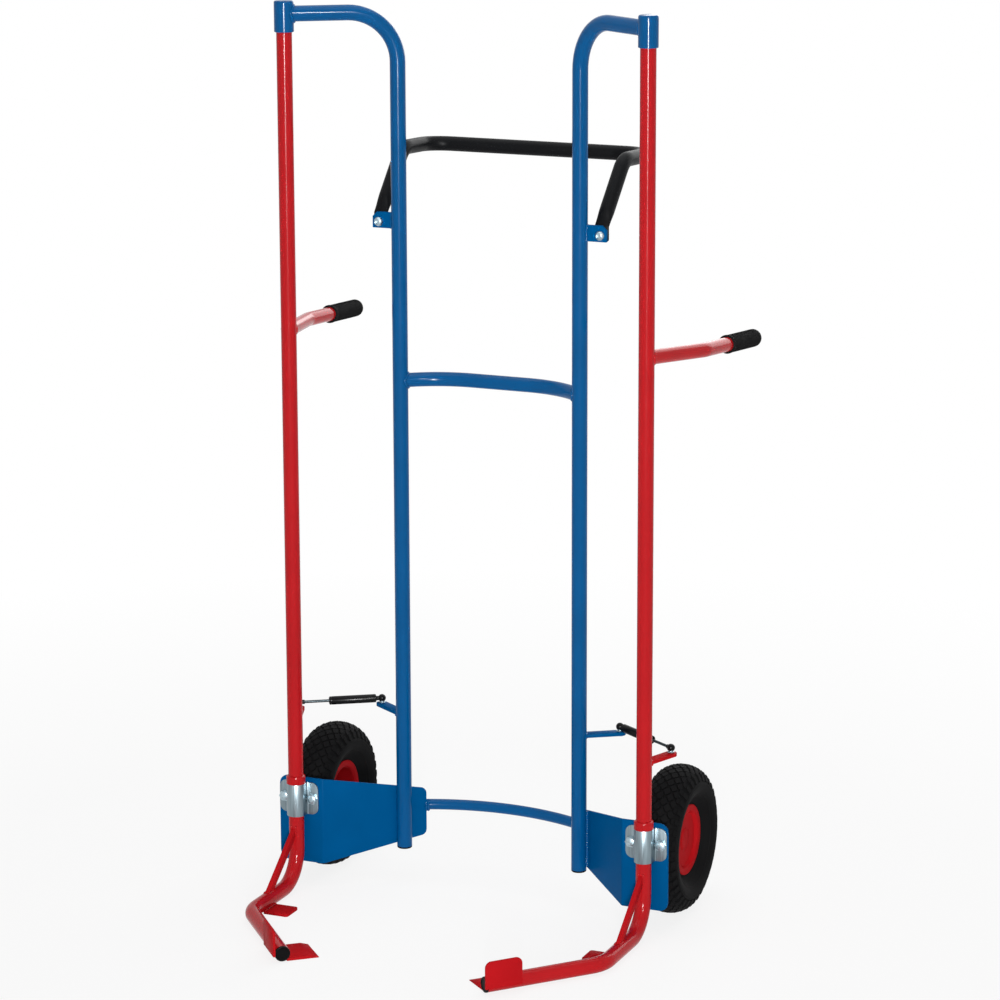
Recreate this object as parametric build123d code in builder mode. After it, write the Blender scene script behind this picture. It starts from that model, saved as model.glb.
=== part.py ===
"""Tyre hand truck with two swivelling load arms, gas springs and pneumatic wheels.

Millimetres, +Z up, floor at Z 0. The load side faces -Y and the operator stands at +Y.
"Right" is +X. Every paired piece is modelled once on the right and mirrored about X 0.
"""

import os
from math import asin, atan, atan2, cos, degrees, hypot, pi, radians, sin, tan

from build123d import *

# Tube stock
TUBE_OD = 26.9
TUBE_WALL = 2.6
SLEEVE_OD = 33.7
CROSSBAR_OD = 25.0
GRIP_TUBE_OD = 25.0
PUSH_TUBE_OD = 26.0

# Clearances
RUN_FIT = 0.1
WELD_GAP = 0.02
PLATE_GAP = 0.3
STUB_FIT = 0.05
END_PLAY = 0.3

# Frame layout
UPRIGHT_X = 167.5
UPRIGHT_BOTTOM = 66.0
TOP_ARM_Z = 1550.0
TOP_BEND = 85.0
ARM_X = 329.0
ARM_Y = -106.0
SLEEVE_DROP = 30.5
SLEEVE_HEIGHT = 53.0
SLEEVE_CAP = 4.0
MID_BAR_Z = 912.0
MID_BAR_BOW = 46.0
MID_BAR_FLAT = 210.0
MID_BAR_BEND = 160.0
PLUG_RIM = 3.5
PLUG_STUB = 16.0

# Folded wheel plates
PLATE_T = 4.0
PLATE_FOLD_X = 284.0
PLATE_OUTER_X = 368.0
PLATE_TOP = 201.0
PLATE_BOTTOM = 45.0
PLATE_INNER_TOP = 163.0
PLATE_INNER_BOTTOM = 77.5
WING_SHORT = 3.8
PLATE_CORNER = 9.0
PLATE_TOE_CORNER = 16.0

# Wheels and bowed axle
WHEEL_R = 130.0
WHEEL_X = 331.0
WHEEL_GAP = 4.0
TYRE_W = 80.0
TYRE_WALL = 8.0
TREAD_BLOCKS = 30
TREAD_DEPTH = 3.0
TREAD_GROOVE = 4.0
TREAD_REACH = 24.0
BEAD_H = 3.0
RIM_FLANGE_R = 62.0
RIM_BARREL_R = 52.0
RIM_WIDTH = 46.0
RIM_WALL = 3.0
RIM_FACE = 16.0
HUB_R = 22.0
HUB_PROUD = 3.0
HUB_COVER_R = 20.0
HUB_COVER_T = 2.0
HUB_COVER_DEEP = 4.0
BEARING_R = 17.0
BEARING_W = 10.0
AXLE_OD = 19.0
AXLE_COLLAR_R = 13.0
AXLE_COLLAR_W = 6.0
AXLE_CAP_T = 3.0
AXLE_INSET = 8.0
AXLE_BOW = 35.0
AXLE_BOW_HALF = 165.0
AXLE_KINK = 40.0

# Pipe clamps
CLAMP_BOTTOM = 135.0
CLAMP_HEIGHT = 58.5
CLAMP_T = 3.0
CLAMP_EAR_HALF = 37.5
CLAMP_EAR_CORNER = 13.0
CLAMP_BOLT_X = 27.0
BOLT_D = 10.0
BOLT_HOLE = 10.6
BOLT_PROUD = 1.0
HEX_AF = 17.0
HEX_H = 6.4
THIN_NUT_H = 5.0
NUT_H = 8.0
BUTTON_R = 8.3
SOCKET_AF = 8.0

# Swivel arms
COLLAR_OD = 34.0
COLLAR_H = 15.0
COLLAR_PLAY = 1.0
FOOT_BEND = 60.0
FOOT_LIFT = 1.0
FOOT_LENGTH = 182.0
FOOT_TURN = 41.0
FOOT_TIP = 218.0
SOLE_T = 5.0
SOLE_BUTT = 8.0
HEEL_NEAR = 106.0
HEEL_LENGTH = 44.0
HEEL_REACH = 54.0
TOE_LENGTH = 66.0
TOE_REACH = 64.0
TOE_REACH_REAR = 62.0
TOE_BEVEL = 14.0
TOE_EDGE = 1.0
HEEL_CORNER = 5.0
TAB_T = 4.0
TAB_AHEAD = 8.0
TAB_LENGTH = 67.0
TAB_BOTTOM = 12.0
TAB_TOP = 59.0
TAB_CORNER = 11.0
BRACE_TOP = 106.0
BRACE_FOOT = 114.0
BRACE_W = 8.0
BRACE_T = 14.0
BRACE_SET = 3.0

# Side handles on the arms
HANDLE_Z = 1008.0
HANDLE_DROP = 4.4
HANDLE_OUT_1 = 43.0
HANDLE_BACK_1 = 160.0
HANDLE_OUT_2 = 54.0
HANDLE_BACK_2 = 382.0
HANDLE_BEND = 70.0
GRIP_OD = 31.0
GRIP_FLANGE_OD = 32.6
GRIP_LENGTH = 130.0
GRIP_END = 5.0
GRIP_FLANGE_W = 4.0

# Push handle
LUG_Z = 1188.5
LUG_BELOW = 11.0
LUG_ABOVE = 17.0
LUG_END = 12.0
LUG_CLIP = 8.0
LUG_T = 6.0
LUG_BOLT_X = 204.5
PUSH_X = 206.0
PUSH_KNEE_Y = 102.0
PUSH_KNEE_Z = 1303.0
PUSH_BACK_Y = 220.0
PUSH_BACK_Z = 1297.0
PUSH_BEND = 42.0
PUSH_TAB_W = 26.0
PUSH_TAB_IN = 1.0
PUSH_TAB_T = 6.4
PUSH_TAB_RISE = 14.5
PUSH_NECK = 30.0

# Gas springs
SPRING_Z = 321.5
FRAME_BALL_X = 228.0
FRAME_BALL_Y = 40.0
LEVER_OUT = 24.0
LEVER_BACK = 64.6
LEVER_W = 20.0
LEVER_T = 6.0
BALL_R = 5.0
STUD_R = 4.0
STUD_NUT_R = 6.5
STUD_NUT_H = 3.0
SOCKET_LIFT = 1.5
SOCKET_R = 7.0
GAS_OD = 15.0
GAS_BORE = 11.4
GAS_LENGTH = 84.0
GAS_START = 11.0
GAS_END_WALL = 6.0
GAS_NECK_R = 4.0
ROD_R = 2.5
ROD_OVERLAP = 9.0

# Places worked out from the sizes above
tube_r = TUBE_OD / 2
tube_bore = tube_r - TUBE_WALL
plate_front = ARM_Y + tube_r + PLATE_GAP
plate_back = plate_front + PLATE_T
wing_run = hypot(PLATE_FOLD_X - UPRIGHT_X, -plate_front)
wing_angle = degrees(
    atan2(-plate_front, PLATE_FOLD_X - UPRIGHT_X) + asin((tube_r + WELD_GAP) / wing_run)
)
wing_dir = Vector(-cos(radians(wing_angle)), sin(radians(wing_angle)))
wing_back = Vector(sin(radians(wing_angle)), cos(radians(wing_angle)))
wheel_y = plate_back + WHEEL_GAP + WHEEL_R
plate_wing = (wheel_y - plate_front - WING_SHORT) / sin(radians(wing_angle))
push_tab_top = LUG_Z + PUSH_TAB_RISE
sleeve_bottom = TOP_ARM_Z - SLEEVE_DROP
clamp_top = CLAMP_BOTTOM + CLAMP_HEIGHT
clamp_mid = CLAMP_BOTTOM + CLAMP_HEIGHT / 2
foot_z = FOOT_LIFT + tube_r
knee = Vector(ARM_X, ARM_Y - FOOT_LENGTH, foot_z)
toe_dir = Vector(-sin(radians(FOOT_TURN)), -cos(radians(FOOT_TURN)), 0)
toe_in = Vector(-cos(radians(FOOT_TURN)), sin(radians(FOOT_TURN)), 0)
toe_end = knee + toe_dir * FOOT_TIP
frame_ball = Vector(FRAME_BALL_X, FRAME_BALL_Y, SPRING_Z)
arm_ball = Vector(ARM_X + LEVER_OUT, ARM_Y + LEVER_BACK, SPRING_Z)
spring_dir = (arm_ball - frame_ball).normalized()
spring_length = (arm_ball - frame_ball).length
bracket_top = SPRING_Z - SOCKET_R - SOCKET_LIFT
hub_back = -RIM_WIDTH / 2 - HUB_PROUD
inner_bearing = hub_back + HUB_PROUD / 3
outer_bearing = RIM_FACE - RIM_WALL - AXLE_INSET - BEARING_W - END_PLAY
axle_end = WHEEL_X + RIM_FACE - RIM_WALL - AXLE_INSET
axle_turn = 2 * atan(AXLE_BOW / AXLE_BOW_HALF)


pieces = {}


def save(builder, name):
    """Keep one finished piece under its name."""
    pieces[name] = builder.part


def save_pair(builder, name):
    """Keep the right-hand piece and its mirrored left-hand twin."""
    save(builder, f"right_{name}")
    with BuildPart() as twin:
        mirror(builder.part, about=Plane.YZ)
    save(twin, f"left_{name}")


# Upright: one tube, bent over at the top towards the pivot sleeve and coped to it
with BuildPart() as upright:
    with BuildLine() as upright_path:
        FilletPolyline(
            (UPRIGHT_X, 0, UPRIGHT_BOTTOM),
            (UPRIGHT_X, 0, TOP_ARM_Z),
            (ARM_X, ARM_Y, TOP_ARM_Z),
            radius=TOP_BEND,
        )
    with BuildSketch(Plane((UPRIGHT_X, 0, UPRIGHT_BOTTOM))):
        Circle(tube_r)
        Circle(tube_bore, mode=Mode.SUBTRACT)
    sweep(path=upright_path.wires()[0])
    with Locations((ARM_X, ARM_Y, TOP_ARM_Z)):
        Cylinder(SLEEVE_OD / 2 + WELD_GAP, 2 * SLEEVE_HEIGHT, mode=Mode.SUBTRACT)
save_pair(upright, "upright")

# Pivot sleeve: short pipe, open below for the arm tube and capped on top
with BuildPart() as top_sleeve:
    with BuildSketch(Plane((ARM_X, ARM_Y, sleeve_bottom))):
        Circle(SLEEVE_OD / 2)
    extrude(amount=SLEEVE_HEIGHT)
    with BuildSketch(Plane((ARM_X, ARM_Y, sleeve_bottom))):
        Circle(tube_r + RUN_FIT)
    extrude(amount=SLEEVE_HEIGHT - SLEEVE_CAP, mode=Mode.SUBTRACT)
    chamfer(top_sleeve.edges().group_by(Axis.Z)[-1], length=1.5)
save_pair(top_sleeve, "top_sleeve")

# Moulded plug in the lower end of each upright
with BuildPart() as upright_plug:
    with BuildSketch(Plane((UPRIGHT_X, 0, UPRIGHT_BOTTOM - PLUG_RIM))):
        Circle(tube_r)
    extrude(amount=PLUG_RIM)
    chamfer(upright_plug.edges().group_by(Axis.Z)[0], length=1.2)
    with BuildSketch(Plane((UPRIGHT_X, 0, UPRIGHT_BOTTOM))):
        Circle(tube_bore - STUB_FIT)
    extrude(amount=PLUG_STUB)
save_pair(upright_plug, "upright_plug")

# Middle crossbar, bowed backwards so that a load can nest between the uprights
with BuildPart() as mid_crossbar:
    with BuildLine() as mid_path:
        FilletPolyline(
            (-UPRIGHT_X, 0, MID_BAR_Z),
            (-MID_BAR_FLAT / 2, MID_BAR_BOW, MID_BAR_Z),
            (MID_BAR_FLAT / 2, MID_BAR_BOW, MID_BAR_Z),
            (UPRIGHT_X, 0, MID_BAR_Z),
            radius=MID_BAR_BEND,
        )
    mid_wire = mid_path.wires()[0]
    with BuildSketch(Plane(mid_wire @ 0, z_dir=mid_wire % 0)):
        Circle(CROSSBAR_OD / 2)
        Circle(CROSSBAR_OD / 2 - TUBE_WALL, mode=Mode.SUBTRACT)
    sweep(path=mid_wire)
    with Locations((-UPRIGHT_X, 0, MID_BAR_Z), (UPRIGHT_X, 0, MID_BAR_Z)):
        Cylinder(tube_r + WELD_GAP, 3 * CROSSBAR_OD, mode=Mode.SUBTRACT)
save(mid_crossbar, "mid_crossbar")

# Axle: one round bar, straight through the wheels and bent into a backward bow between them
with BuildLine() as axle_path:
    bend_in = AXLE_KINK * (1 - cos(axle_turn))
    half_in = AXLE_KINK * (1 - cos(axle_turn / 2))
    bow_x = AXLE_BOW_HALF - AXLE_KINK * sin(axle_turn)
    half_x = AXLE_BOW_HALF - AXLE_KINK * sin(axle_turn / 2)
    Line((-axle_end, wheel_y, WHEEL_R), (-AXLE_BOW_HALF, wheel_y, WHEEL_R))
    ThreePointArc(
        (-AXLE_BOW_HALF, wheel_y, WHEEL_R),
        (-half_x, wheel_y + half_in, WHEEL_R),
        (-bow_x, wheel_y + bend_in, WHEEL_R),
    )
    ThreePointArc(
        (-bow_x, wheel_y + bend_in, WHEEL_R),
        (0, wheel_y + AXLE_BOW, WHEEL_R),
        (bow_x, wheel_y + bend_in, WHEEL_R),
    )
    ThreePointArc(
        (bow_x, wheel_y + bend_in, WHEEL_R),
        (half_x, wheel_y + half_in, WHEEL_R),
        (AXLE_BOW_HALF, wheel_y, WHEEL_R),
    )
    Line((AXLE_BOW_HALF, wheel_y, WHEEL_R), (axle_end, wheel_y, WHEEL_R))
axle_wire = axle_path.wires()[0]
axle_start = Plane((-axle_end, wheel_y, WHEEL_R), z_dir=(1, 0, 0))
with BuildPart() as axle_bar:
    with BuildSketch(axle_start):
        Circle(AXLE_OD / 2)
    sweep(path=axle_wire)
    for side in (-1, 1):
        shoulder = (side * (WHEEL_X + inner_bearing - END_PLAY), wheel_y, WHEEL_R)
        with BuildSketch(Plane(shoulder, z_dir=(-side, 0, 0))):
            Circle(AXLE_COLLAR_R)
        extrude(amount=AXLE_COLLAR_W)
save(axle_bar, "axle_bar")

# Wheel plate: front flange for the clamp, folded back along the wing past the upright
with BuildPart() as wheel_plate:
    with BuildSketch(Plane((0, plate_back, 0), x_dir=(1, 0, 0), z_dir=(0, -1, 0))):
        with BuildLine():
            Polyline(
                (PLATE_FOLD_X, PLATE_BOTTOM),
                (PLATE_OUTER_X, PLATE_BOTTOM),
                (PLATE_OUTER_X, PLATE_TOP),
                (PLATE_FOLD_X, PLATE_TOP),
                close=True,
            )
        make_face()
    extrude(amount=PLATE_T)
    flange_edges = wheel_plate.edges().filter_by(Axis.Y)
    fillet(flange_edges.group_by(Axis.X)[-1], radius=PLATE_TOE_CORNER)
    with BuildSketch(Plane((PLATE_FOLD_X, plate_front, 0), x_dir=wing_dir, z_dir=wing_back)):
        with BuildLine():
            Polyline(
                (0, PLATE_BOTTOM),
                (plate_wing, PLATE_INNER_BOTTOM),
                (plate_wing, PLATE_INNER_TOP),
                (0, PLATE_TOP),
                close=True,
            )
        make_face()
    extrude(amount=PLATE_T)
    wing_edges = wheel_plate.edges().filter_by(Axis((0, 0, 0), wing_back))
    fillet(wing_edges.group_by(Axis.X)[0], radius=PLATE_CORNER)
    with BuildSketch(axle_start):
        Circle(AXLE_OD / 2 + PLATE_GAP)
    sweep(path=axle_wire, mode=Mode.SUBTRACT)
    bolt_points = [(ARM_X + s * CLAMP_BOLT_X, plate_back, clamp_mid) for s in (-1, 1)]
    for point in bolt_points:
        with BuildSketch(Plane(point, z_dir=(0, -1, 0))):
            Circle(BOLT_HOLE / 2)
        extrude(amount=PLATE_T, mode=Mode.SUBTRACT)
    with BuildSketch(Plane((ARM_X, ARM_Y, clamp_top - END_PLAY))):
        Circle(COLLAR_OD / 2 + END_PLAY)
    extrude(amount=COLLAR_H + 2 * END_PLAY, mode=Mode.SUBTRACT)
save_pair(wheel_plate, "wheel_plate")

# Saddle clamp: a pressed strap round the arm tube with two ears on the plate
strap_r = tube_r + RUN_FIT + CLAMP_T
with BuildPart() as pipe_clamp:
    with BuildSketch(Plane((ARM_X, ARM_Y, CLAMP_BOTTOM))):
        Circle(strap_r)
        with Locations((0, plate_front - ARM_Y - CLAMP_T / 2)):
            Rectangle(2 * CLAMP_EAR_HALF, CLAMP_T)
        with Locations((0, plate_front - ARM_Y)):
            Rectangle(2 * strap_r, 2 * (plate_front - ARM_Y))
        Circle(tube_r + RUN_FIT, mode=Mode.SUBTRACT)
        with Locations((0, plate_front - ARM_Y)):
            Rectangle(2 * (tube_r + RUN_FIT), 2 * (plate_front - ARM_Y), mode=Mode.SUBTRACT)
        with Locations((0, plate_front - ARM_Y + strap_r)):
            Rectangle(4 * CLAMP_EAR_HALF, 2 * strap_r, mode=Mode.SUBTRACT)
    extrude(amount=CLAMP_HEIGHT)
    ear_edges = pipe_clamp.edges().filter_by(Axis.Y).group_by(Axis.X)
    fillet(ear_edges[0] + ear_edges[-1], radius=CLAMP_EAR_CORNER)
    for point in bolt_points:
        with BuildSketch(Plane(point, z_dir=(0, -1, 0))):
            Circle(BOLT_HOLE / 2)
        extrude(amount=PLATE_T + 2 * CLAMP_T, mode=Mode.SUBTRACT)
save_pair(pipe_clamp, "pipe_clamp")

# Clamp bolts and the thin nuts behind the plates, all four of each
ear_front = plate_front - CLAMP_T
clamp_grip = PLATE_T + CLAMP_T
bolt_heads = [(s * x, ear_front, z) for x, _, z in bolt_points for s in (-1, 1)]
with BuildPart() as clamp_bolts:
    for point in bolt_heads:
        with BuildSketch(Plane(point, z_dir=(0, -1, 0))):
            RegularPolygon(HEX_AF / 2, 6, major_radius=False)
        extrude(amount=HEX_H)
        with BuildSketch(Plane(point, z_dir=(0, 1, 0))):
            Circle(BOLT_D / 2)
        extrude(amount=clamp_grip + THIN_NUT_H + BOLT_PROUD)
save(clamp_bolts, "clamp_bolts")

with BuildPart() as clamp_nuts:
    for x, _, z in bolt_heads:
        with BuildSketch(Plane((x, plate_back, z), z_dir=(0, 1, 0))):
            RegularPolygon(HEX_AF / 2, 6, major_radius=False)
            Circle(BOLT_D / 2 + WELD_GAP, mode=Mode.SUBTRACT)
        extrude(amount=THIN_NUT_H)
save(clamp_nuts, "clamp_nuts")

# Lug on the outer side of the upright that carries one end of the push handle
with BuildPart() as handle_lug:
    with BuildSketch(Plane((0, LUG_T / 2, LUG_Z), x_dir=(1, 0, 0), z_dir=(0, -1, 0))):
        with BuildLine():
            Polyline(
                (UPRIGHT_X, -LUG_BELOW),
                (LUG_BOLT_X + LUG_END, -LUG_BELOW),
                (LUG_BOLT_X + LUG_END, LUG_ABOVE - LUG_CLIP),
                (LUG_BOLT_X + LUG_END - LUG_CLIP, LUG_ABOVE),
                (UPRIGHT_X, LUG_ABOVE),
                close=True,
            )
        make_face()
        with Locations((LUG_BOLT_X, 0)):
            Circle(BOLT_HOLE / 2, mode=Mode.SUBTRACT)
    extrude(amount=LUG_T)
    with Locations((UPRIGHT_X, 0, LUG_Z)):
        Cylinder(tube_r + WELD_GAP, 4 * LUG_ABOVE, mode=Mode.SUBTRACT)
save_pair(handle_lug, "handle_lug")

# Push handle: one bent tube, both ends flattened to a tab for the lug bolts
tab_y = LUG_T / 2 + WELD_GAP + PUSH_TAB_T / 2
push_knee = Vector(PUSH_X, PUSH_KNEE_Y, PUSH_KNEE_Z)
tab_top = Vector(LUG_BOLT_X, tab_y, push_tab_top)
rise_dir = (push_knee - tab_top).normalized()
neck_end = tab_top + rise_dir * PUSH_NECK
with BuildPart() as push_handle:
    with BuildSketch(Plane(tab_top)):
        Ellipse(PUSH_TAB_W / 2, PUSH_TAB_T / 2)
    extrude(amount=-(push_tab_top - LUG_Z + LUG_BELOW - PUSH_TAB_IN))
    with BuildSketch(Plane(tab_top)):
        Ellipse(PUSH_TAB_W / 2, PUSH_TAB_T / 2)
    with BuildSketch(Plane(neck_end, x_dir=(1, 0, 0), z_dir=rise_dir)):
        Circle(PUSH_TUBE_OD / 2)
    loft()
    with BuildSketch(Plane((LUG_BOLT_X, tab_y, LUG_Z), z_dir=(0, 1, 0))):
        Circle(BOLT_HOLE / 2)
    extrude(amount=PUSH_TAB_T, both=True, mode=Mode.SUBTRACT)
    mirror(about=Plane.YZ)
    with BuildLine() as push_path:
        FilletPolyline(
            neck_end,
            push_knee,
            (PUSH_X, PUSH_BACK_Y, PUSH_BACK_Z),
            (-PUSH_X, PUSH_BACK_Y, PUSH_BACK_Z),
            (-PUSH_X, PUSH_KNEE_Y, PUSH_KNEE_Z),
            (-neck_end.X, neck_end.Y, neck_end.Z),
            radius=PUSH_BEND,
        )
    push_wire = push_path.wires()[0]
    with BuildSketch(Plane(push_wire @ 0, z_dir=push_wire % 0)):
        Circle(PUSH_TUBE_OD / 2)
        Circle(PUSH_TUBE_OD / 2 - TUBE_WALL, mode=Mode.SUBTRACT)
    sweep(path=push_wire)
save(push_handle, "push_handle")

# Handle bolts, head on the load side, and their nuts behind the flattened tabs
tab_back = tab_y + PUSH_TAB_T / 2
lug_heads = [(s * LUG_BOLT_X, -LUG_T / 2, LUG_Z) for s in (-1, 1)]
with BuildPart() as handle_bolts:
    for x, y, z in lug_heads:
        point = (x, y, z)
        with BuildSketch(Plane(point, z_dir=(0, -1, 0))):
            Circle(BUTTON_R)
        extrude(amount=HEX_H)
        with BuildSketch(Plane((x, y - HEX_H, z), z_dir=(0, 1, 0))):
            RegularPolygon(SOCKET_AF / 2, 6, major_radius=False)
        extrude(amount=HEX_H / 2, mode=Mode.SUBTRACT)
        with BuildSketch(Plane(point, z_dir=(0, 1, 0))):
            Circle(BOLT_D / 2)
        extrude(amount=LUG_T / 2 + tab_back + NUT_H + 2 * BOLT_PROUD)
save(handle_bolts, "handle_bolts")

with BuildPart() as handle_nuts:
    for x, _, z in lug_heads:
        with BuildSketch(Plane((x, tab_back, z), z_dir=(0, 1, 0))):
            RegularPolygon(HEX_AF / 2, 6, major_radius=False)
            Circle(BOLT_D / 2 + WELD_GAP, mode=Mode.SUBTRACT)
        extrude(amount=NUT_H)
save(handle_nuts, "handle_nuts")

# Flat bracket on the upright for the fixed end of the gas spring
bracket_run = Vector(FRAME_BALL_X - UPRIGHT_X, FRAME_BALL_Y, 0)
with BuildPart() as spring_bracket:
    with BuildSketch(Plane((UPRIGHT_X, 0, bracket_top), x_dir=bracket_run, z_dir=(0, 0, -1))):
        with Locations((bracket_run.length / 2, 0)):
            Rectangle(bracket_run.length, LEVER_W)
        with Locations((bracket_run.length, 0)):
            Circle(LEVER_W / 2)
            Circle(STUD_R + STUB_FIT, mode=Mode.SUBTRACT)
    extrude(amount=LEVER_T)
    with Locations((UPRIGHT_X, 0, bracket_top)):
        Cylinder(tube_r + WELD_GAP, 3 * LEVER_W, mode=Mode.SUBTRACT)
save_pair(spring_bracket, "spring_bracket")

# Ball stud riveted into the bracket
with BuildPart() as frame_ball_stud:
    with Locations(frame_ball):
        Sphere(BALL_R)
    with BuildSketch(Plane((FRAME_BALL_X, FRAME_BALL_Y, bracket_top - LEVER_T - STUD_NUT_H))):
        Circle(STUD_NUT_R)
    extrude(amount=STUD_NUT_H)
    with BuildSketch(Plane((FRAME_BALL_X, FRAME_BALL_Y, bracket_top - LEVER_T))):
        Circle(STUD_R)
    extrude(amount=SPRING_Z - bracket_top + LEVER_T)
save_pair(frame_ball_stud, "frame_ball_stud")

# Gas spring cylinder with its ball socket; the mouth is wide so the rod can swing a little
with BuildPart() as gas_cylinder:
    with Locations(frame_ball):
        Sphere(SOCKET_R)
    with BuildSketch(Plane(frame_ball, z_dir=spring_dir)):
        Circle(GAS_NECK_R)
    extrude(amount=GAS_START)
    with BuildSketch(Plane(frame_ball + spring_dir * GAS_START, z_dir=spring_dir)):
        Circle(GAS_OD / 2)
    extrude(amount=GAS_LENGTH)
    bore_start = frame_ball + spring_dir * (GAS_START + GAS_END_WALL)
    with BuildSketch(Plane(bore_start, z_dir=spring_dir)):
        Circle(GAS_BORE / 2)
    extrude(amount=GAS_LENGTH, mode=Mode.SUBTRACT)
    with BuildSketch(Plane((FRAME_BALL_X, FRAME_BALL_Y, SPRING_Z - SOCKET_R))):
        Circle(BALL_R + RUN_FIT)
    extrude(amount=SOCKET_R, mode=Mode.SUBTRACT)
    with Locations(frame_ball):
        Sphere(BALL_R + RUN_FIT, mode=Mode.SUBTRACT)
save_pair(gas_cylinder, "gas_cylinder")

# Piston rod with its ball socket on the arm lever
rod_length = spring_length - GAS_START - GAS_LENGTH + ROD_OVERLAP
with BuildPart() as gas_rod:
    with Locations(arm_ball):
        Sphere(SOCKET_R)
    with BuildSketch(Plane(arm_ball, z_dir=-spring_dir)):
        Circle(ROD_R)
    extrude(amount=rod_length)
    with BuildSketch(Plane((arm_ball.X, arm_ball.Y, SPRING_Z - SOCKET_R))):
        Circle(BALL_R + RUN_FIT)
    extrude(amount=SOCKET_R, mode=Mode.SUBTRACT)
    with Locations(arm_ball):
        Sphere(BALL_R + RUN_FIT, mode=Mode.SUBTRACT)
save_pair(gas_rod, "gas_rod")

# Swivel arm: one tube from the sleeve down to the foot, along the floor and inwards
with BuildPart() as arm_tube:
    with BuildLine() as arm_path:
        FilletPolyline(
            (ARM_X, ARM_Y, sleeve_bottom + SLEEVE_HEIGHT - SLEEVE_CAP - COLLAR_PLAY),
            (ARM_X, ARM_Y, foot_z),
            knee,
            toe_end,
            radius=FOOT_BEND,
        )
    arm_wire = arm_path.wires()[0]
    with BuildSketch(Plane(arm_wire @ 0, z_dir=arm_wire % 0)):
        Circle(tube_r)
        Circle(tube_bore, mode=Mode.SUBTRACT)
    sweep(path=arm_wire)
save_pair(arm_tube, "arm_tube")

# Welded collar that carries the arm on the top edge of the clamp
with BuildPart() as arm_collar:
    with BuildSketch(Plane((ARM_X, ARM_Y, clamp_top))):
        Circle(COLLAR_OD / 2)
        Circle(tube_r + WELD_GAP, mode=Mode.SUBTRACT)
    extrude(amount=COLLAR_H)
    outer_edges = arm_collar.edges().group_by(Axis.Z)[-1].sort_by(SortBy.LENGTH)
    chamfer(outer_edges[-1], length=2.5)
save_pair(arm_collar, "arm_collar")

# Flat-bar brace across the inside of the floor bend
brace_high = Vector(0, ARM_Y - tube_r + BRACE_SET, BRACE_TOP)
brace_low = Vector(0, ARM_Y - BRACE_FOOT, foot_z + tube_r - BRACE_SET)
brace_run = brace_low - brace_high
with BuildPart() as arm_brace:
    brace_plane = Plane(
        (ARM_X, (brace_high.Y + brace_low.Y) / 2, (brace_high.Z + brace_low.Z) / 2),
        x_dir=(1, 0, 0),
        z_dir=brace_run,
    )
    with BuildSketch(brace_plane):
        Rectangle(BRACE_W, BRACE_T)
    extrude(amount=brace_run.length / 2, both=True)
    with Locations((ARM_X, ARM_Y, BRACE_TOP)):
        Cylinder(tube_r + WELD_GAP, BRACE_TOP, mode=Mode.SUBTRACT)
    with Locations(Plane((ARM_X, ARM_Y - BRACE_FOOT, foot_z), z_dir=(0, 1, 0))):
        Cylinder(tube_r + WELD_GAP, BRACE_FOOT, mode=Mode.SUBTRACT)
save_pair(arm_brace, "arm_brace")

# Heel plate butted against the inner side of the foot, near the floor bend
with BuildPart() as heel_plate:
    with BuildSketch():
        with Locations(
            (ARM_X - (SOLE_BUTT + HEEL_REACH) / 2, ARM_Y - HEEL_NEAR - HEEL_LENGTH / 2)
        ):
            Rectangle(HEEL_REACH - SOLE_BUTT, HEEL_LENGTH)
    extrude(amount=SOLE_T)
    heel_edges = heel_plate.edges().filter_by(Axis.Z).group_by(Axis.X)[0]
    fillet(heel_edges, radius=HEEL_CORNER)
    with Locations(Plane((ARM_X, ARM_Y - HEEL_NEAR, foot_z), z_dir=(0, 1, 0))):
        Cylinder(tube_r + WELD_GAP, 4 * HEEL_LENGTH, mode=Mode.SUBTRACT)
save_pair(heel_plate, "heel_plate")

# Toe plate butted against the tip, its inner edge bevelled to slide under the load
with BuildPart() as toe_plate:
    sole_plane = Plane(toe_end - Vector(0, 0, foot_z), x_dir=toe_in, z_dir=(0, 0, 1))
    rear = sole_plane.to_local_coords(toe_end - toe_dir * TOE_LENGTH).Y
    with BuildSketch(sole_plane):
        with BuildLine():
            Polyline(
                (SOLE_BUTT, 0),
                (TOE_REACH, 0),
                (TOE_REACH_REAR, rear),
                (SOLE_BUTT, rear),
                close=True,
            )
        make_face()
    extrude(amount=SOLE_T)
    sole_top = toe_plate.faces().sort_by(Axis.Z)[-1]
    lip_edge = sole_top.edges().sort_by(Axis(sole_plane.origin, toe_in))[-1]
    chamfer(lip_edge, length=TOE_BEVEL, length2=SOLE_T - TOE_EDGE, reference=sole_top)
    with Locations(Plane(toe_end, z_dir=toe_dir)):
        Cylinder(tube_r + WELD_GAP, 4 * TOE_LENGTH, mode=Mode.SUBTRACT)
save_pair(toe_plate, "toe_plate")

# Upright stop tab on the outer side of the foot tip
with BuildPart() as stop_tab:
    tab_face = toe_end - toe_in * (tube_r + WELD_GAP) + toe_dir * TAB_AHEAD
    with BuildSketch(Plane(tab_face, x_dir=-toe_dir, z_dir=-toe_in)):
        with Locations((TAB_LENGTH / 2, (TAB_BOTTOM + TAB_TOP) / 2 - foot_z)):
            Rectangle(TAB_LENGTH, TAB_TOP - TAB_BOTTOM)
    extrude(amount=TAB_T)
    tab_edges = stop_tab.edges().filter_by(Axis((0, 0, 0), toe_in)).group_by(Axis.Z)[-1]
    fillet(tab_edges, radius=TAB_CORNER)
save_pair(stop_tab, "stop_tab")

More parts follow.
